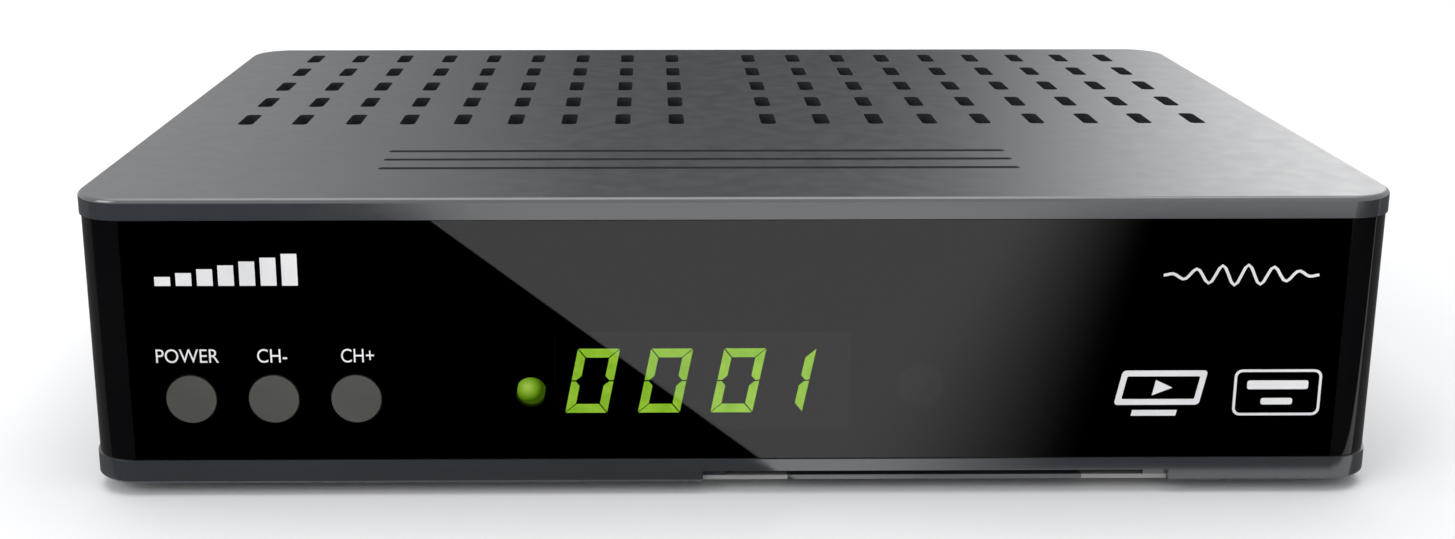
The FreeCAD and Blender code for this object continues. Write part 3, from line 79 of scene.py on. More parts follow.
class Shader:
    """One material's node tree, with short calls for the nodes that the finishes share."""

    def __init__(self, name):
        self.material = bpy.data.materials.new(name)
        self.material.use_nodes = True
        self.tree = self.material.node_tree
        self.surface = self.tree.nodes["Principled BSDF"]
        self.place = self.tree.nodes.new("ShaderNodeTexCoord").outputs["Object"]

    def link(self, source, target):
        self.tree.links.new(source, target)

    def noise(self, scale, detail=4.0, roughness=0.55, stretch=None):
        """Noise in object space; scale counts features per metre."""
        node = self.tree.nodes.new("ShaderNodeTexNoise")
        node.inputs["Scale"].default_value = scale
        node.inputs["Detail"].default_value = detail
        node.inputs["Roughness"].default_value = roughness
        source = self.place
        if stretch is not None:
            mapping = self.tree.nodes.new("ShaderNodeMapping")
            mapping.inputs["Scale"].default_value = stretch
            self.link(source, mapping.inputs["Vector"])
            source = mapping.outputs["Vector"]
        self.link(source, node.inputs["Vector"])
        return node.outputs["Fac"]

    def ramp(self, source, *stops):
        """Colours or grey levels at positions along a 0 to 1 value."""
        node = self.tree.nodes.new("ShaderNodeValToRGB")
        elements = node.color_ramp.elements
        while len(elements) < len(stops):
            elements.new(0.5)
        for element, (position, value) in zip(elements, stops):
            element.position = position
            colour = value if isinstance(value, tuple) else (value,) * 3
            element.color = (*colour, 1.0)
        self.link(source, node.inputs["Fac"])
        return node.outputs["Color"]

    def remap(self, source, low, high, out_low, out_high, curve="SMOOTHSTEP"):
        """A value between two limits, carried over to two others."""
        node = self.tree.nodes.new("ShaderNodeMapRange")
        node.interpolation_type = curve
        values = (low, high, out_low, out_high)
        for socket, value in zip(("From Min", "From Max", "To Min", "To Max"), values):
            node.inputs[socket].default_value = value
        self.link(source, node.inputs["Value"])
        return node.outputs["Result"]

    def math(self, operation, *values):
        """One step of arithmetic on values that are numbers or other nodes' outputs."""
        node = self.tree.nodes.new("ShaderNodeMath")
        node.operation = operation
        for socket, value in zip(node.inputs, values):
            if isinstance(value, float):
                socket.default_value = value
            else:
                self.link(value, socket)
        return node.outputs["Value"]

    def axis(self, vector, letter):
        node = self.tree.nodes.new("ShaderNodeSeparateXYZ")
        self.link(vector, node.inputs["Vector"])
        return node.outputs[letter]

    def normal(self):
        return self.tree.nodes.new("ShaderNodeNewGeometry").outputs["Normal"]

    def colour(self, source):
        self.link(source, self.surface.inputs["Base Color"])

    def clouds(self, scale, detail, dark, light):
        """A surface colour that drifts between two, so many times per metre."""
        cloud = self.noise(scale, detail)
        self.colour(self.ramp(cloud, (NOISE_LOW, dark), (NOISE_HIGH, light)))

    def rough(self, source):
        self.link(source, self.surface.inputs["Roughness"])

    def uneven_gloss(self, scale, smoothest, roughest):
        """A roughness that drifts between two, so many times per metre."""
        self.rough(self.remap(self.noise(scale), NOISE_LOW, NOISE_HIGH, smoothest, roughest))

    def bump(self, height, distance, strength):
        node = self.tree.nodes.new("ShaderNodeBump")
        node.inputs["Distance"].default_value = distance
        node.inputs["Strength"].default_value = strength
        self.link(height, node.inputs["Height"])
        self.link(node.outputs["Normal"], self.surface.inputs["Normal"])

    def set(self, **values):
        """Constant values on the surface's own sockets; underscores stand for spaces."""
        for name, value in values.items():
            self.surface.inputs[name.replace("_", " ")].default_value = value


# Finishes; a grain counts features per metre and a depth is in millimetres

def plastic(name, colour, roughness, grain=6000.0, depth=0.02, shine=0.5):
    """Moulded plastic: a fine grain, a faint cloudiness and uneven gloss."""
    cloud_scale = 60.0
    cloud_detail = 3.0
    cloud_spread = 0.12
    gloss_scale = 260.0
    gloss_spread = 0.12
    grain_detail = 2.0
    grain_strength = 0.5
    look = Shader(name)
    dark = shade(colour, 1 - cloud_spread)
    light = shade(colour, 1 + cloud_spread)
    look.clouds(cloud_scale, cloud_detail, dark, light)
    look.uneven_gloss(gloss_scale, roughness * (1 - gloss_spread), roughness * (1 + gloss_spread))
    look.bump(look.noise(grain, grain_detail), depth * MM, grain_strength)
    look.set(IOR=1.5, Specular_IOR_Level=shine)
    return look.material


def metal(name, colour, roughness, brushed=(1.0, 1.0, 1.0)):
    """Plated or brushed metal, with fine scratches along its brushing."""
    scratch_scale = 3000.0
    scratch_detail = 3.0
    scratch_roughness = 0.6
    scratch_shade = 0.86
    scratch_depth = 0.004
    scratch_strength = 0.4
    gloss_scale = 500.0
    gloss_spread = 0.3
    look = Shader(name)
    lines = look.noise(scratch_scale, scratch_detail, scratch_roughness, brushed)
    look.colour(look.ramp(lines, (0.25, shade(colour, scratch_shade)), (0.75, colour)))
    look.uneven_gloss(gloss_scale, roughness * (1 - gloss_spread), roughness * (1 + gloss_spread))
    look.bump(lines, scratch_depth * MM, scratch_strength)
    look.set(Metallic=1.0)
    return look.material


def slate():
    """The case's slate finish: a satin grain on its flat faces, smoother on its upright edges."""
    base = (0.038, 0.042, 0.048)
    cloud_spread = 0.07
    upright = 0.3
    flat = 0.95
    edge_roughness = 0.13
    face_roughness = 0.36
    unevenness = 0.02
    grain_depth = 0.012
    look = Shader("case_slate")
    dark = shade(base, 1 - cloud_spread)
    light = shade(base, 1 + cloud_spread)
    look.clouds(scale=45.0, detail=3.0, dark=dark, light=light)
    facing = look.math("ABSOLUTE", look.axis(look.normal(), "Z"))
    by_facing = look.remap(facing, upright, flat, edge_roughness, face_roughness)
    drift = look.noise(scale=300.0)
    uneven = look.remap(drift, NOISE_LOW, NOISE_HIGH, -unevenness, unevenness)
    look.rough(look.math("ADD", by_facing, uneven))
    look.bump(look.noise(scale=5200.0, detail=2.0), grain_depth * MM, strength=0.4)
    look.set(IOR=1.95)
    return look.material


def smoked():
    """The front window: clear acrylic with a dark smoke tint."""
    deep_tint = (0.095, 0.095, 0.098)
    light_tint = (0.105, 0.105, 0.108)
    look = Shader("lens_smoke")
    look.clouds(scale=40.0, detail=2.0, dark=deep_tint, light=light_tint)
    look.uneven_gloss(scale=150.0, smoothest=0.0, roughest=0.012)
    look.set(IOR=1.49, Transmission_Weight=1.0)
    return look.material


def board():
    """Green solder resist with brighter tracks under it and fine weave."""
    track_depth = 0.03
    look = Shader("board_green")
    tracks = look.tree.nodes.new("ShaderNodeTexBrick")
    tracks.inputs["Scale"].default_value = 900.0
    tracks.inputs["Mortar Size"].default_value = 0.012
    tracks.inputs["Color1"].default_value = (0.006, 0.06, 0.02, 1.0)
    tracks.inputs["Color2"].default_value = (0.010, 0.085, 0.03, 1.0)
    tracks.inputs["Mortar"].default_value = (0.02, 0.14, 0.05, 1.0)
    look.link(look.place, tracks.inputs["Vector"])
    look.colour(tracks.outputs["Color"])
    look.uneven_gloss(scale=700.0, smoothest=0.25, roughest=0.4)
    look.bump(tracks.outputs["Fac"], track_depth * MM, strength=0.5)
    look.set(IOR=1.5)
    return look.material


def glowing(look, glow, strength):
    """Make a surface shine in its own colour."""
    look.link(glow, look.surface.inputs["Emission Color"])
    look.colour(glow)
    look.set(Emission_Strength=strength, Roughness=0.5)
    return look.material


def lit_segment():
    """The display's lit bars, of one even green."""
    green = (0.30, 0.62, 0.03)
    pale_green = (0.40, 0.72, 0.05)
    look = Shader("segment_lit")
    glow = look.ramp(look.noise(scale=500.0, detail=2.0), (0.35, green), (0.65, pale_green))
    return glowing(look, glow, strength=7.6)


def status_light():
    """The status light, brightest up and left of its middle and dimmer towards its rim."""
    green = (0.16, 0.38, 0.008)
    core = (0.50, 0.80, 0.09)
    rim = shade(green, 0.35)
    low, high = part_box("status_light_guide")
    core_shift_x = -0.5 * MM
    core_shift_z = 0.55 * MM
    reach = 1.9 * MM
    look = Shader("status_green")
    gap = look.tree.nodes.new("ShaderNodeVectorMath")
    gap.operation = "DISTANCE"
    gap.inputs[1].default_value = (
        middle(low.x, high.x) + core_shift_x, low.y, middle(low.z, high.z) + core_shift_z,
    )
    look.link(look.place, gap.inputs[0])
    distance = look.math("DIVIDE", gap.outputs["Value"], reach)
    glow = look.ramp(distance, (0.15, core), (0.75, green), (1.0, rim))
    return glowing(look, glow, strength=6.6)


MATERIALS = {
    "case_slate": slate(),
    "fascia_black": plastic("fascia_black", (0.004, 0.004, 0.0045), 0.06, grain=2500.0, depth=0.0001),
    "lens_smoke": smoked(),
    "panel_black": plastic("panel_black", (0.010, 0.0105, 0.011), 0.42, grain=4200.0, depth=0.03),
    "foot_rubber": plastic("foot_rubber", (0.012, 0.012, 0.012), 0.75, grain=3000.0, depth=0.04),
    "screw_steel": metal("screw_steel", (0.42, 0.41, 0.38), 0.3),
    "button_grey": plastic("button_grey", (0.078, 0.078, 0.067), 0.4, grain=5000.0, depth=0.01),
    "switch_black": plastic("switch_black", (0.012, 0.012, 0.012), 0.5),
    "spring_steel": metal("spring_steel", (0.6, 0.57, 0.5), 0.25),
    "board_green": board(),
    "display_black": plastic("display_black", (0.0008, 0.0008, 0.0008), 0.6, shine=0.0),
    "segment_lit": lit_segment(),
    "segment_dark": plastic("segment_dark", (0.002, 0.003, 0.0015), 0.5, shine=0.1),
    "status_green": status_light(),
    "infrared_dark": plastic(
        "infrared_dark", (0.004, 0.001, 0.002), 0.3, grain=2000.0, depth=0.002, shine=0.1,
    ),
    "pin_metal": metal("pin_metal", (0.83, 0.61, 0.22), 0.22),
    "guide_pale": plastic("guide_pale", (0.30, 0.30, 0.29), 0.45),
    "tin_plate": metal("tin_plate", (0.62, 0.62, 0.6), 0.28, brushed=(0.08, 1.0, 1.0)),
    "nickel": metal("nickel", (0.66, 0.63, 0.57), 0.18),
    "insulator_white": plastic("insulator_white", (0.66, 0.66, 0.62), 0.45),
    "audio_orange": plastic("audio_orange", (0.62, 0.13, 0.01), 0.3),
    "chip_black": plastic("chip_black", (0.014, 0.014, 0.015), 0.6, grain=3500.0, depth=0.02),
    "pad_grey": plastic("pad_grey", (0.25, 0.27, 0.3), 0.7),
    "heatsink_aluminium": metal(
        "heatsink_aluminium", (0.55, 0.56, 0.57), 0.35, brushed=(1.0, 0.05, 1.0),
    ),
    "can_sleeve": plastic("can_sleeve", (0.012, 0.02, 0.05), 0.3),
    "coil_grey": plastic("coil_grey", (0.05, 0.05, 0.052), 0.6),
}
PRINT_WHITE = plastic("print_white", (0.78, 0.78, 0.78), 0.5, grain=3000.0, depth=0.002)
WINDOW_GREEN = plastic("window_green", (0.04, 0.16, 0.03), 0.2, grain=2000.0, depth=0.002)
WINDOW_AMBER = plastic("window_amber", (0.30, 0.13, 0.02), 0.2, grain=2000.0, depth=0.002)


def dress_nodes():
    """Give every solid of the frame its slot's material."""
    for part in frame["record"]["subparts"]:
        node = frame["nodes"][part["node"]]
        node.data.materials.clear()
        node.data.materials.append(MATERIALS[part["material_slot"]])


# Broken edges of the solids, in millimetres

EDGE_WIDTHS = {
    "top_cover": 0.12,
    "bottom_tray": 0.12,
    "front_fascia": 0.15,
    "left_side_panel": 0.15,
    "right_side_panel": 0.15,
    "rear_panel": 0.15,
    "power_button": 0.22,
    "channel_down_button": 0.22,
    "channel_up_button": 0.22,
    "lit_segments": 0.07,
    "dark_segments": 0.07,
    "av_jack": 0.2,
    "digital_audio_jack": 0.2,
    "dc_jack": 0.2,
    "ethernet_jack": 0.15,
    "hdmi_shell": 0.1,
    "usb_shell": 0.1,
    "heatsink": 0.1,
    "capacitors": 0.4,
    "tuner_lid": 0.15,
    "card_guides": 0.1,
    "main_processor": 0.1,
    "memory_chips": 0.1,
    "crystal_can": 0.5,
    "inductors": 0.6,
}


def dress_edges():
    """A small rounding on the edges that catch the light."""
    sharp_angle = 40.0
    segments = 2
    for node, width in EDGE_WIDTHS.items():
        bevel = frame["nodes"][node].modifiers.new("edges", "BEVEL")
        bevel.width = width * MM
        bevel.segments = segments
        bevel.limit_method = "ANGLE"
        bevel.angle_limit = math.radians(sharp_angle)


# Mesh building

def piece(name, bm, finish, material=None, stands_for=()):
    """A finished mesh that rides on the receiver and stands for the CAD nodes named."""
    bmesh.ops.recalc_face_normals(bm, faces=bm.faces)
    mesh = bpy.data.meshes.new(name)
    bm.to_mesh(mesh)
    bm.free()
    thing = bpy.data.objects.new(name, mesh)
    scene.collection.objects.link(thing)
    mesh.materials.append(material or MATERIALS[finish])
    if stands_for:
        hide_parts(*stands_for)
    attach(thing, ROOT)
    return thing


def smooth(thing, angle=35.0):
    """Smooth shading, with edges sharper than an angle kept crisp."""
    for face in thing.data.polygons:
        face.use_smooth = True
    edges = bmesh.new()
    edges.from_mesh(thing.data)
    for edge in edges.edges:
        sharp = len(edge.link_faces) == 2 and edge.calc_face_angle(0.0) > math.radians(angle)
        edge.smooth = not sharp
    edges.to_mesh(thing.data)
    edges.free()


def join_rings(bm, rings):
    """Faces between each closed ring of points and the next."""
    for first, second in zip(rings, rings[1:]):
        for i in range(len(first)):
            j = (i + 1) % len(first)
            bm.faces.new((first[i], first[j], second[j], second[i]))


def lathe(bm, profile, centre, axis, segments=64):
    """Turn a closed profile of (radius, distance) in millimetres round an axis, Y or Z."""
    rings = []
    for radius, distance in profile:
        ring = []
        for i in range(segments):
            angle = 2 * math.pi * i / segments
            across = radius * math.cos(angle)
            up = radius * math.sin(angle)
            offset = (across, distance, up) if axis == "Y" else (across, up, distance)
            ring.append(bm.verts.new(Vector(centre) + Vector(offset) * MM))
        rings.append(ring)
    join_rings(bm, rings + rings[:1])


def block(bm, low, high):
    """A box between two corners, in millimetres."""
    corners = [
        bm.verts.new(Vector((x, y, z)) * MM)
        for x in (low[0], high[0])
        for y in (low[1], high[1])
        for z in (low[2], high[2])
    ]
    sides = ((0, 1, 3, 2), (4, 6, 7, 5), (0, 4, 5, 1), (2, 3, 7, 6), (0, 2, 6, 4), (1, 5, 7, 3))
    for side in sides:
        bm.faces.new([corners[i] for i in side])


# Printed marks, in millimetres on the face that they are on

PRINT_LIFT = 0.03


class Print:
    """Flat printed marks on an upright face; x runs to the right as the face is read."""

    def __init__(self, face_y, towards):
        self.bm = bmesh.new()
        self.y = face_y + towards * PRINT_LIFT * MM
        self.across = -towards

    def point(self, x, z):
        return self.bm.verts.new((self.across * x * MM, self.y, z * MM))

    def area(self, outline):
        self.bm.faces.new([self.point(x, z) for x, z in outline])

    def box(self, x_low, x_high, z_low, z_high):
        self.area([(x_low, z_low), (x_high, z_low), (x_high, z_high), (x_low, z_high)])

    def band(self, outlines):
        """The strip between two closed outlines with as many points each."""
        join_rings(self.bm, [[self.point(x, z) for x, z in outline] for outline in outlines])

    def line(self, points, width):
        """A stroke along open points."""
        edges = []
        for i, (x, z) in enumerate(points):
            before = points[max(i - 1, 0)]
            after = points[min(i + 1, len(points) - 1)]
            run = Vector((after[0] - before[0], after[1] - before[1])).normalized()
            side = Vector((-run.y, run.x)) * width / 2
            edges.append((self.point(x + side.x, z + side.y), self.point(x - side.x, z - side.y)))
        for (a, b), (c, d) in zip(edges, edges[1:]):
            self.bm.faces.new((a, b, d, c))

    def words(self, text, x_low, x_high, z_low, z_high):
        """Plain words, fitted to a box."""
        curve = bpy.data.curves.new(text, "FONT")
        curve.body = text
        curve.resolution_u = 6
        holder = bpy.data.objects.new(text, curve)
        scene.collection.objects.link(holder)
        mesh = bpy.data.meshes.new_from_object(holder)
        xs = [vertex.co.x for vertex in mesh.vertices]
        ys = [vertex.co.y for vertex in mesh.vertices]
        wide = (x_high - x_low) / (max(xs) - min(xs))
        tall = (z_high - z_low) / (max(ys) - min(ys))
        made = [
            self.point(x_low + (x - min(xs)) * wide, z_low + (y - min(ys)) * tall)
            for x, y in zip(xs, ys)
        ]
        for face in mesh.polygons:
            self.bm.faces.new([made[i] for i in face.vertices])
        bpy.data.objects.remove(holder)
        bpy.data.meshes.remove(mesh)

    def finish(self, name):
        piece(name, self.bm, "guide_pale", PRINT_WHITE)


def rounded_outline(x_low, x_high, z_low, z_high, radius):
    """A rectangle's outline with round corners."""
    steps = 5
    points = []
    corners = (
        (x_high - radius, z_high - radius, 0.0),
        (x_low + radius, z_high - radius, 90.0),
        (x_low + radius, z_low + radius, 180.0),
        (x_high - radius, z_low + radius, 270.0),
    )
    for x, z, start in corners:
        for i in range(steps + 1):
            angle = math.radians(start + 90.0 * i / steps)
            points.append((x + radius * math.cos(angle), z + radius * math.sin(angle)))
    return points


def frame_outlines(x_low, x_high, z_low, z_high, stroke, outer_radius, inner_radius):
    """The outer and the inner outline of a frame with round corners."""
    outer = rounded_outline(x_low, x_high, z_low, z_high, outer_radius)
    inner = rounded_outline(
        x_low + stroke, x_high - stroke, z_low + stroke, z_high - stroke, inner_radius,
    )
    return outer, inner


def front_labels():
    """The buttons' names, over each."""
    text_low = 18.3
    text_high = 20.15
    marks = Print(LENS_FACE, -1)
    for text, left, right in (("POWER", -74.0, -66.0), ("CH-", -61.1, -57.3), ("CH+", -50.4, -46.2)):
        marks.words(text, left, right, text_low, text_high)
    marks.finish("front_labels")


def signal_meter(marks):
    """Bars that grow to the right."""
    bars = 7
    pitch = 2.68
    width = 2.0
    left = -73.5
    low = 28.6
    shortest = 1.2
    growth = 0.5
    for i in range(bars):
        x = left + i * pitch
        marks.box(x, x + width, low, low + shortest + growth * i)


def wave(marks):
    """A wave that swells and dies away."""
    left = 54.2
    right = 74.0
    middle_z = 29.7
    swell = 1.35
    half_waves = 12
    steps = 48
    stroke = 0.38
    points = []
    for i in range(steps + 1):
        part = i / steps
        tall = swell * math.sin(math.pi * part)
        height = tall * math.sin(half_waves * math.pi * part)
        points.append((left + (right - left) * part, middle_z + height))
    marks.line(points, stroke)


def leaning_screen(marks):
    """A screen on a foot, with a triangle in it, all leaning to the right."""
    lean = 0.2
    foot_low = 10.7
    foot_high = 11.5
    foot_left = 51.2
    foot_right = 57.0

    def leaning(points):
        return [(x + lean * (z - foot_low), z) for x, z in points]

    screen = frame_outlines(
        48.6, 59.6, 12.2, 16.9, stroke=0.8, outer_radius=0.5, inner_radius=0.2,
    )
    marks.band([leaning(outline) for outline in screen])
    marks.area(leaning([
        (foot_left, foot_low), (foot_right, foot_low), (foot_right, foot_high), (foot_left, foot_high),
    ]))
    marks.area(leaning([(53.2, 13.5), (55.6, 14.55), (53.2, 15.6)]))


def framed_lines(marks):
    """A long and a short line in a thin frame."""
    line_radius = 0.3
    marks.band(frame_outlines(
        64.3, 75.6, 10.7, 17.0, stroke=0.35, outer_radius=1.0, inner_radius=0.7,
    ))
    marks.area(rounded_outline(66.0, 73.9, 14.3, 15.5, line_radius))
    marks.area(rounded_outline(67.9, 72.0, 12.2, 13.1, line_radius))


def front_marks():
    """Plain pictograms on the front window."""
    marks = Print(LENS_FACE, -1)
    signal_meter(marks)
    wave(marks)
    leaning_screen(marks)
    framed_lines(marks)
    marks.finish("front_marks")


def rear_labels():
    """Plain names of the sockets, over each, with a short line down to it."""
    text_low = 27.6
    text_high = 29.2
    line_start = text_low - 0.6
    line_end = text_low - 2.2
    stroke = 0.25
    marks = Print(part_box("rear_panel")[1].y, 1)
    for text, node, width in (
        ("LNB OUT", "lnb_out_connector", 9.0),
        ("LNB IN", "lnb_in_connector", 7.0),
        ("VIDEO", "hdmi_shell", 7.0),
        ("NETWORK", "ethernet_jack", 10.5),
        ("AV", "av_jack", 2.8),
        ("AUDIO", "digital_audio_shell", 7.0),
        ("MEDIA", "usb_shell", 7.0),
        ("DC IN", "dc_jack", 6.0),
    ):
        low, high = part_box(node)
        x = -middle(low.x, high.x) / MM
        marks.words(text, x - width / 2, x + width / 2, text_low, text_high)
        marks.line([(x, line_start), (x, line_end)], stroke)
    marks.finish("rear_labels")


# Turned and threaded pieces, in millimetres

def aerial_connector(name):
    """The threaded barrel of one aerial connector, with a chamfered mouth and an open bore."""
    crest = 4.76
    root = 4.3
    bore = 3.0
    pitch = 0.794
    chamfer = 0.7
    chamfer_slope = 0.9
    flank = 1.25
    lip = 0.3
    plain_length = 0.5
    rows_per_turn = 8
    segments = 64
    low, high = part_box(name)
    x = middle(low.x, high.x)
    z = middle(low.z, high.z)
    thread_start = CASE_BACK + plain_length * MM
    thread_length = (high.y - thread_start) / MM
    rows = int(thread_length / pitch * rows_per_turn)
    bm = bmesh.new()
    rings = []

    def ring(y, radius_at):
        made = []
        for i in range(segments):
            turn = i / segments
            radius = radius_at(turn) * MM
            angle = 2 * math.pi * turn
            place = (x + radius * math.cos(angle), y, z + radius * math.sin(angle))
            made.append(bm.verts.new(place))
        rings.append(made)

    def plain_ring(y, radius):
        ring(y, lambda turn: radius)

    plain_ring(low.y, bore)
    plain_ring(low.y, root)
    plain_ring(thread_start, root)
    for row in range(1, rows + 1):
        distance = thread_length * row / rows
        limit = crest - max(0.0, distance - thread_length + chamfer) * chamfer_slope

        def thread_radius(turn, distance=distance, limit=limit):
            phase = (distance / pitch - turn) % 1.0
            ridge = 1 - abs(2 * phase - 1)
            return min(root + (crest - root) * min(ridge * flank, 1.0), max(limit, root))

        ring(thread_start + distance * MM, thread_radius)
    plain_ring(high.y, root - lip)
    plain_ring(high.y, bore + lip)
    plain_ring(high.y - lip * MM, bore)
    join_rings(bm, rings + rings[:1])
    smooth(piece(name + "_threads", bm, "nickel", stands_for=(name,)), angle=50.0)


def audio_shell():
    """The turned ring round the digital audio socket, with a rolled mouth."""
    neck = 3.8
    outside = 4.15
    inside = 3.5
    shoulder = 3.35
    roll = 0.3
    roll_middle = 0.09
    inner_chamfer = 0.15
    low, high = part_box("digital_audio_shell")
    long = (high.y - low.y) / MM
    profile = [
        (inside, 0.0),
        (neck, 0.0),
        (neck, shoulder),
        (outside, shoulder),
        (outside, long - roll),
        (outside - roll_middle, long - roll_middle),
        (outside - roll, long),
        (inside + inner_chamfer, long),
        (inside, long - inner_chamfer),
    ]
    bm = bmesh.new()
    lathe(bm, profile, (middle(low.x, high.x), low.y, middle(low.z, high.z)), "Y")
    smooth(piece("audio_shell_turned", bm, "nickel", stands_for=("digital_audio_shell",)))


def corner_places(low, high, radius):
    """The centres of four round pieces whose outsides reach a box's sides, in metres."""
    inset = radius * MM
    return [(x, y) for x in (low.x + inset, high.x - inset) for y in (low.y + inset, high.y - inset)]


# The smallest ring of a turned piece that closes at its axis
AXIS_RADIUS = 0.01


def feet():
    """Rubber feet with a rounded rim and a moulded ring under each."""
    radius = 5.0
    hollow = 0.25
    low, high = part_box("rubber_feet")
    tall = (high.z - low.z) / MM
    profile = [
        (AXIS_RADIUS, hollow),
        (2.6, hollow),
        (2.9, 0.0),
        (4.5, 0.0),
        (4.85, 0.12),
        (radius, 0.5),
        (radius, tall),
        (AXIS_RADIUS, tall),
    ]
    bm = bmesh.new()
    for x, y in corner_places(low, high, radius):
        lathe(bm, profile, (x, y, low.z), "Z", segments=48)
    smooth(piece("feet_moulded", bm, "foot_rubber", stands_for=("rubber_feet",)))


def cross_head(bm, centre, radius, height):
    """A domed screw head with a cross recess, which looks down."""
    arm = 0.42
    reach = 0.62 * radius
    depth = 0.55 * height
    wall = 0.16
    fall = 0.35
    fall_power = 2.4
    steps = 22
    segments = 72
    angles = [2 * math.pi * i / segments for i in range(segments)]
    rings = []
    for step in range(steps + 1):
        distance = radius * step / steps
        dome = height * (1 - fall * (distance / radius) ** fall_power)
        ring = []
        for angle in angles:
            u = distance * math.cos(angle)
            v = distance * math.sin(angle)
            past_arm = (arm - min(abs(u), abs(v))) / wall
            past_end = (reach - max(abs(u), abs(v))) / wall
            cut = depth * max(0.0, min(1.0, past_arm, past_end))
            ring.append(bm.verts.new(Vector(centre) + Vector((u, v, cut - dome)) * MM))
        rings.append(ring)
    rim = []
    for angle in angles:
        offset = Vector((radius * math.cos(angle), radius * math.sin(angle), 0.0))
        rim.append(bm.verts.new(Vector(centre) + offset * MM))
    join_rings(bm, rings + [rim])
    bm.faces.new(rim)


def case_screw_heads():
    """The four screws under the case, with domed cross heads on plain shanks."""
    head_radius = 2.8
    head_height = 2.0
    shank_radius = 1.45
    low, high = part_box("case_screws")
    shank_length = (high.z - low.z) / MM - head_height
    shank = [
        (AXIS_RADIUS, 0.0),
        (shank_radius, 0.0),
        (shank_radius, shank_length),
        (AXIS_RADIUS, shank_length),
    ]
    seat = low.z + head_height * MM
    bm = bmesh.new()
    for x, y in corner_places(low, high, head_radius):
        cross_head(bm, (x, y, seat), head_radius, head_height)
        lathe(bm, shank, (x, y, seat), "Z", segments=24)
    smooth(piece("case_screws_domed", bm, "screw_steel", stands_for=("case_screws",)))


def network_lights():
    """Two small windows beside the latch way of the network jack."""
    wide = 3.2
    tall = 2.4
    edge = 0.7
    depth = 0.2
    proud = 0.05
    low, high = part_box("ethernet_jack")
    mouth = high.y / MM
    bottom = low.z / MM + edge
    for name, x, finish, material in (
        ("network_light_left", low.x / MM + edge, "status_green", WINDOW_GREEN),
        ("network_light_right", high.x / MM - edge - wide, "audio_orange", WINDOW_AMBER),
    ):
        bm = bmesh.new()
        block(bm, (x, mouth - depth, bottom), (x + wide, mouth + proud, bottom + tall))
        piece(name, bm, finish, material)


# Small parts on the main board, in millimetres

# Pieces whose boxes cover much of the board though they stand beside it or pass through it
SPREAD_NODES = (
    "top_cover", "bottom_tray", "front_fascia", "front_lens", "left_side_panel",
    "right_side_panel", "rear_panel", "case_screws", "board_screws",
)


def board_obstacles(board_top):
    """The areas over the main board that other pieces take, each with a margin round it."""
    margin = 2
    least_height = 0.05
    low_enough = 2.0
    areas = []
    for node in frame["nodes"]:
        low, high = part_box(node)
        stands_on = high.z / MM > board_top + least_height and low.z / MM < board_top + low_enough
        if stands_on and node not in SPREAD_NODES:
            areas.append((
                low.x / MM - margin, low.y / MM - margin, high.x / MM + margin, high.y / MM + margin,
            ))
    return areas


def surface_parts():
    """Small resistors and capacitors, spread over the free places of the main board."""
    tries = 400
    board_rim = 4
    spacing = 2.2
    half_long = 0.8
    half_wide = 0.42
    tall = 0.5
    cap = 0.28
    cap_proud = 0.02
    cap_over = 0.03
    cap_shift = half_long - cap / 2 + cap_proud
    board_low, board_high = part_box("main_board")
    board_top = board_high.z / MM
    taken = board_obstacles(board_top)
    dice = random.Random(7)
    bodies = bmesh.new()
    ends = bmesh.new()
    for _ in range(tries):
        x = dice.uniform(board_low.x / MM + board_rim, board_high.x / MM - board_rim)
        y = dice.uniform(board_low.y / MM + board_rim, board_high.y / MM - board_rim)
        if any(left < x < right and front < y < back for left, front, right, back in taken):
            continue
        taken.append((x - spacing, y - spacing, x + spacing, y + spacing))
        along_x = dice.random() < 0.5
        half = (half_long, half_wide) if along_x else (half_wide, half_long)
        block(
            bodies,
            (x - half[0], y - half[1], board_top),
            (x + half[0], y + half[1], board_top + tall),
        )
        for side in (-1, 1):
            at = (x + side * cap_shift, y) if along_x else (x, y + side * cap_shift)
            reach = (cap / 2, half_wide + cap_over) if along_x else (half_wide + cap_over, cap / 2)
            block(
                ends,
                (at[0] - reach[0], at[1] - reach[1], board_top),
                (at[0] + reach[0], at[1] + reach[1], board_top + tall + cap_over),
            )
    piece("board_small_parts", bodies, "chip_black")
    piece("board_solder_ends", ends, "tin_plate")


# Studio, in metres

SIDE_CARD_BACK = 0.3
BACK_CARD_REACH = 0.45


def flat_plane(name, corners, material):
    """A flat piece of the studio, which isn't part of the receiver."""
    mesh = bpy.data.meshes.new(name)
    mesh.from_pydata(corners, [], [tuple(range(len(corners)))])
    plane = bpy.data.objects.new(name, mesh)
    scene.collection.objects.link(plane)
    plane.data.materials.append(material)
    return plane


def make_floor():
    """A large sheet of white paper."""
    size = 6.0
    look = Shader("floor_paper")
    look.clouds(scale=8.0, detail=4.0, dark=(0.90, 0.90, 0.90), light=(0.92, 0.92, 0.92))
    look.set(Roughness=0.9, Specular_IOR_Level=0.1)
    corners = [(-size, -size, 0), (size, -size, 0), (size, size, 0), (-size, size, 0)]
    flat_plane("floor", corners, look.material)


def reflected_card(name, corners, fill):
    """A card that only reflections see; fill works out its brightness from its own places."""
    look = Shader(name)
    look.tree.nodes.remove(look.surface)
    glow = look.tree.nodes.new("ShaderNodeEmission")
    look.link(fill(look), glow.inputs["Strength"])
    look.link(glow.outputs["Emission"], look.tree.nodes["Material Output"].inputs["Surface"])
    card = flat_plane(name, corners, look.material)
    card.visible_camera = False
    card.visible_diffuse = False
    card.visible_shadow = False


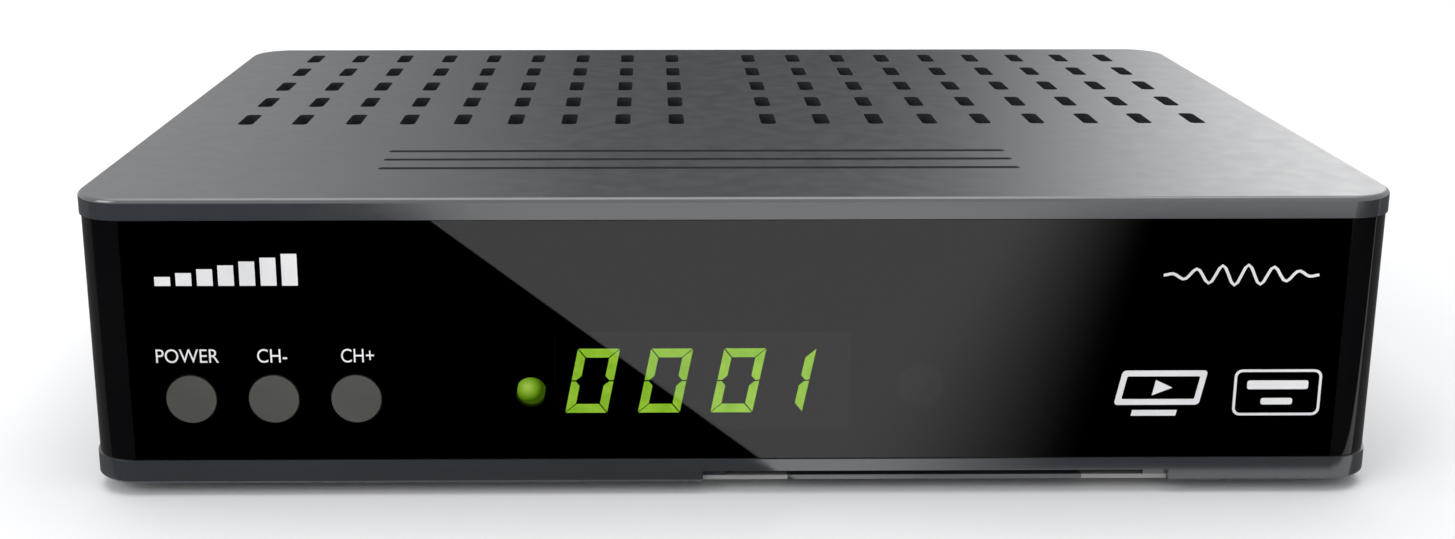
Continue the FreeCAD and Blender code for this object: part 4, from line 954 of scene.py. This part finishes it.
def distance_past(look, point, way):
    """How far a place on a card lies past a point of the floor, in one direction."""
    x = look.axis(look.place, "X")
    y = look.axis(look.place, "Y")
    across = look.math("MULTIPLY", look.math("SUBTRACT", x, point[0]), way[0])
    ahead = look.math("MULTIPLY", look.math("SUBTRACT", y, point[1]), way[1])
    return look.math("ADD", across, ahead)


def front_card_fill(look):
    """Black left of a slanted edge; right of it grey that fades, but not far from the case."""
    edge_point = (0.0081, -0.0615)
    edge_way = (0.8965, -0.4431)
    edge_blur = 0.0003
    fade_point = (0.035, -0.0759)
    fade_way = (0.936, 0.354)
    fade_start = -0.018
    fade_end = 0.015
    far_start = -0.194
    far_end = -0.197
    near_start = -0.067
    near_end = -0.0655
    near_level = 0.6
    brightness = 1.3
    past_edge = distance_past(look, edge_point, edge_way)
    edge = look.remap(past_edge, -edge_blur, edge_blur, 0.0, 1.0)
    fade = look.remap(distance_past(look, fade_point, fade_way), fade_start, fade_end, 1.0, 0.0)
    y = look.axis(look.place, "Y")
    far = look.remap(y, far_end, far_start, 1.0, 0.0)
    near = look.remap(y, near_start, near_end, 0.0, near_level)
    kept = look.math("MAXIMUM", fade, look.math("MAXIMUM", far, near))
    return look.math("MULTIPLY", look.math("MULTIPLY", edge, kept), brightness)


def side_card_fill(look):
    """Dark grey, a little lighter towards the back."""
    front = -0.06
    front_level = 0.12
    back_level = 0.18
    y = look.axis(look.place, "Y")
    return look.remap(y, front, SIDE_CARD_BACK, front_level, back_level)


def back_card_fill(look):
    """Mid grey on the left, dark in the middle and bright on the right."""
    brightness = 3.3
    levels = (
        (0.16, 0.24), (0.28, 0.17), (0.38, 0.08), (0.45, 0.0), (0.60, 0.0),
        (0.66, 0.03), (0.72, 0.18), (0.80, 0.55), (0.89, 0.95), (0.98, 1.0),
    )
    x = look.axis(look.place, "X")
    part = look.remap(x, -BACK_CARD_REACH, BACK_CARD_REACH, 0.0, 1.0, "LINEAR")
    return look.math("MULTIPLY", look.ramp(part, *levels), brightness)


def floor_card(name, x_start, x_end, y_start, y_end, fill):
    """A reflected card that lies just over the floor."""
    lift = 0.0005
    corners = [
        (x_start, y_start, lift), (x_end, y_start, lift),
        (x_end, y_end, lift), (x_start, y_end, lift),
    ]
    reflected_card(name, corners, fill)


def make_cards():
    """Cards on the floor before and beside the case, and an upright one behind it."""
    side = 0.5
    front = -0.5
    case_line = -0.0605
    gap = 0.0005
    behind = 0.6
    tall = 0.5
    floor_card("front_card", -side, side, front, case_line, front_card_fill)
    for name, way in (("left_card", -1), ("right_card", 1)):
        inner = way * (HALF_WIDTH + gap)
        floor_card(name, inner, way * side, case_line, SIDE_CARD_BACK, side_card_fill)
    corners = [
        (-BACK_CARD_REACH, behind, 0.0), (BACK_CARD_REACH, behind, 0.0),
        (BACK_CARD_REACH, behind, tall), (-BACK_CARD_REACH, behind, tall),
    ]
    reflected_card("back_card", corners, back_card_fill)


def make_world():
    """A soft room, white wherever the camera, a reflection or a clear piece looks past."""
    world = bpy.data.worlds.new("studio")
    scene.world = world
    world.use_nodes = True
    tree = world.node_tree
    background = tree.nodes["Background"]
    background.inputs["Color"].default_value = (0.94, 0.96, 1.0, 1.0)
    background.inputs["Strength"].default_value = 0.6
    seen = tree.nodes.new("ShaderNodeBackground")
    seen.inputs["Color"].default_value = (1.0, 1.0, 1.0, 1.0)
    path = tree.nodes.new("ShaderNodeLightPath")
    either = path.outputs["Is Camera Ray"]
    for name in ("Is Glossy Ray", "Is Transmission Ray"):
        larger = tree.nodes.new("ShaderNodeMath")
        larger.operation = "MAXIMUM"
        tree.links.new(either, larger.inputs[0])
        tree.links.new(path.outputs[name], larger.inputs[1])
        either = larger.outputs["Value"]
    mix = tree.nodes.new("ShaderNodeMixShader")
    tree.links.new(either, mix.inputs["Fac"])
    tree.links.new(background.outputs["Background"], mix.inputs[1])
    tree.links.new(seen.outputs["Background"], mix.inputs[2])
    tree.links.new(mix.outputs["Shader"], tree.nodes["World Output"].inputs["Surface"])


def area_lamp(name, place, target, size, power):
    """A square soft lamp that looks at a target."""
    data = bpy.data.lights.new(name, "AREA")
    data.shape = "RECTANGLE"
    data.size = size
    data.size_y = size
    data.energy = power
    lamp = bpy.data.objects.new(name, data)
    scene.collection.objects.link(lamp)
    lamp.location = place
    lamp.rotation_mode = "QUATERNION"
    lamp.rotation_quaternion = (Vector(target) - Vector(place)).to_track_quat("-Z", "Y")


def make_lamps():
    """Soft light from above and from the left front."""
    area_lamp("overhead", place=(0.0, 0.1, 1.1), target=(0, 0, 0), size=1.2, power=9.0)
    area_lamp("left_front", place=(-0.8, -0.7, 0.6), target=(0, 0, 0.02), size=0.6, power=4.0)


def make_camera():
    """The photograph's view: focal length and centre in its own 1455 by 539 pixels."""
    photo_width = 1455
    photo_height = 539
    focal = 1700.6
    centre_x = 664.8
    centre_y = 164.9
    pitch = 0.2373
    yaw = 0.0083
    left = 10.76
    before = 260.5
    above = 92.27
    data = bpy.data.cameras.new("camera")
    data.sensor_width = 36.0
    data.lens = focal / photo_width * data.sensor_width
    data.shift_x = (photo_width / 2 - centre_x) / photo_width
    data.shift_y = (centre_y - photo_height / 2) / photo_width
    data.clip_start = 0.01
    camera = bpy.data.objects.new("camera", data)
    scene.collection.objects.link(camera)
    camera.location = (-left * MM, CASE_MIDDLE_Y - before * MM, CASE_BASE + above * MM)
    ahead = Vector((
        math.sin(yaw) * math.cos(pitch), math.cos(yaw) * math.cos(pitch), -math.sin(pitch),
    ))
    camera.rotation_mode = "QUATERNION"
    camera.rotation_quaternion = ahead.to_track_quat("-Z", "Y")
    scene.camera = camera


dress_nodes()
dress_edges()
front_labels()
front_marks()
rear_labels()
aerial_connector("lnb_in_connector")
aerial_connector("lnb_out_connector")
audio_shell()
feet()
case_screw_heads()
network_lights()
surface_parts()
make_floor()
make_cards()
make_world()
make_lamps()
make_camera()
scene.view_settings.view_transform = "Standard"
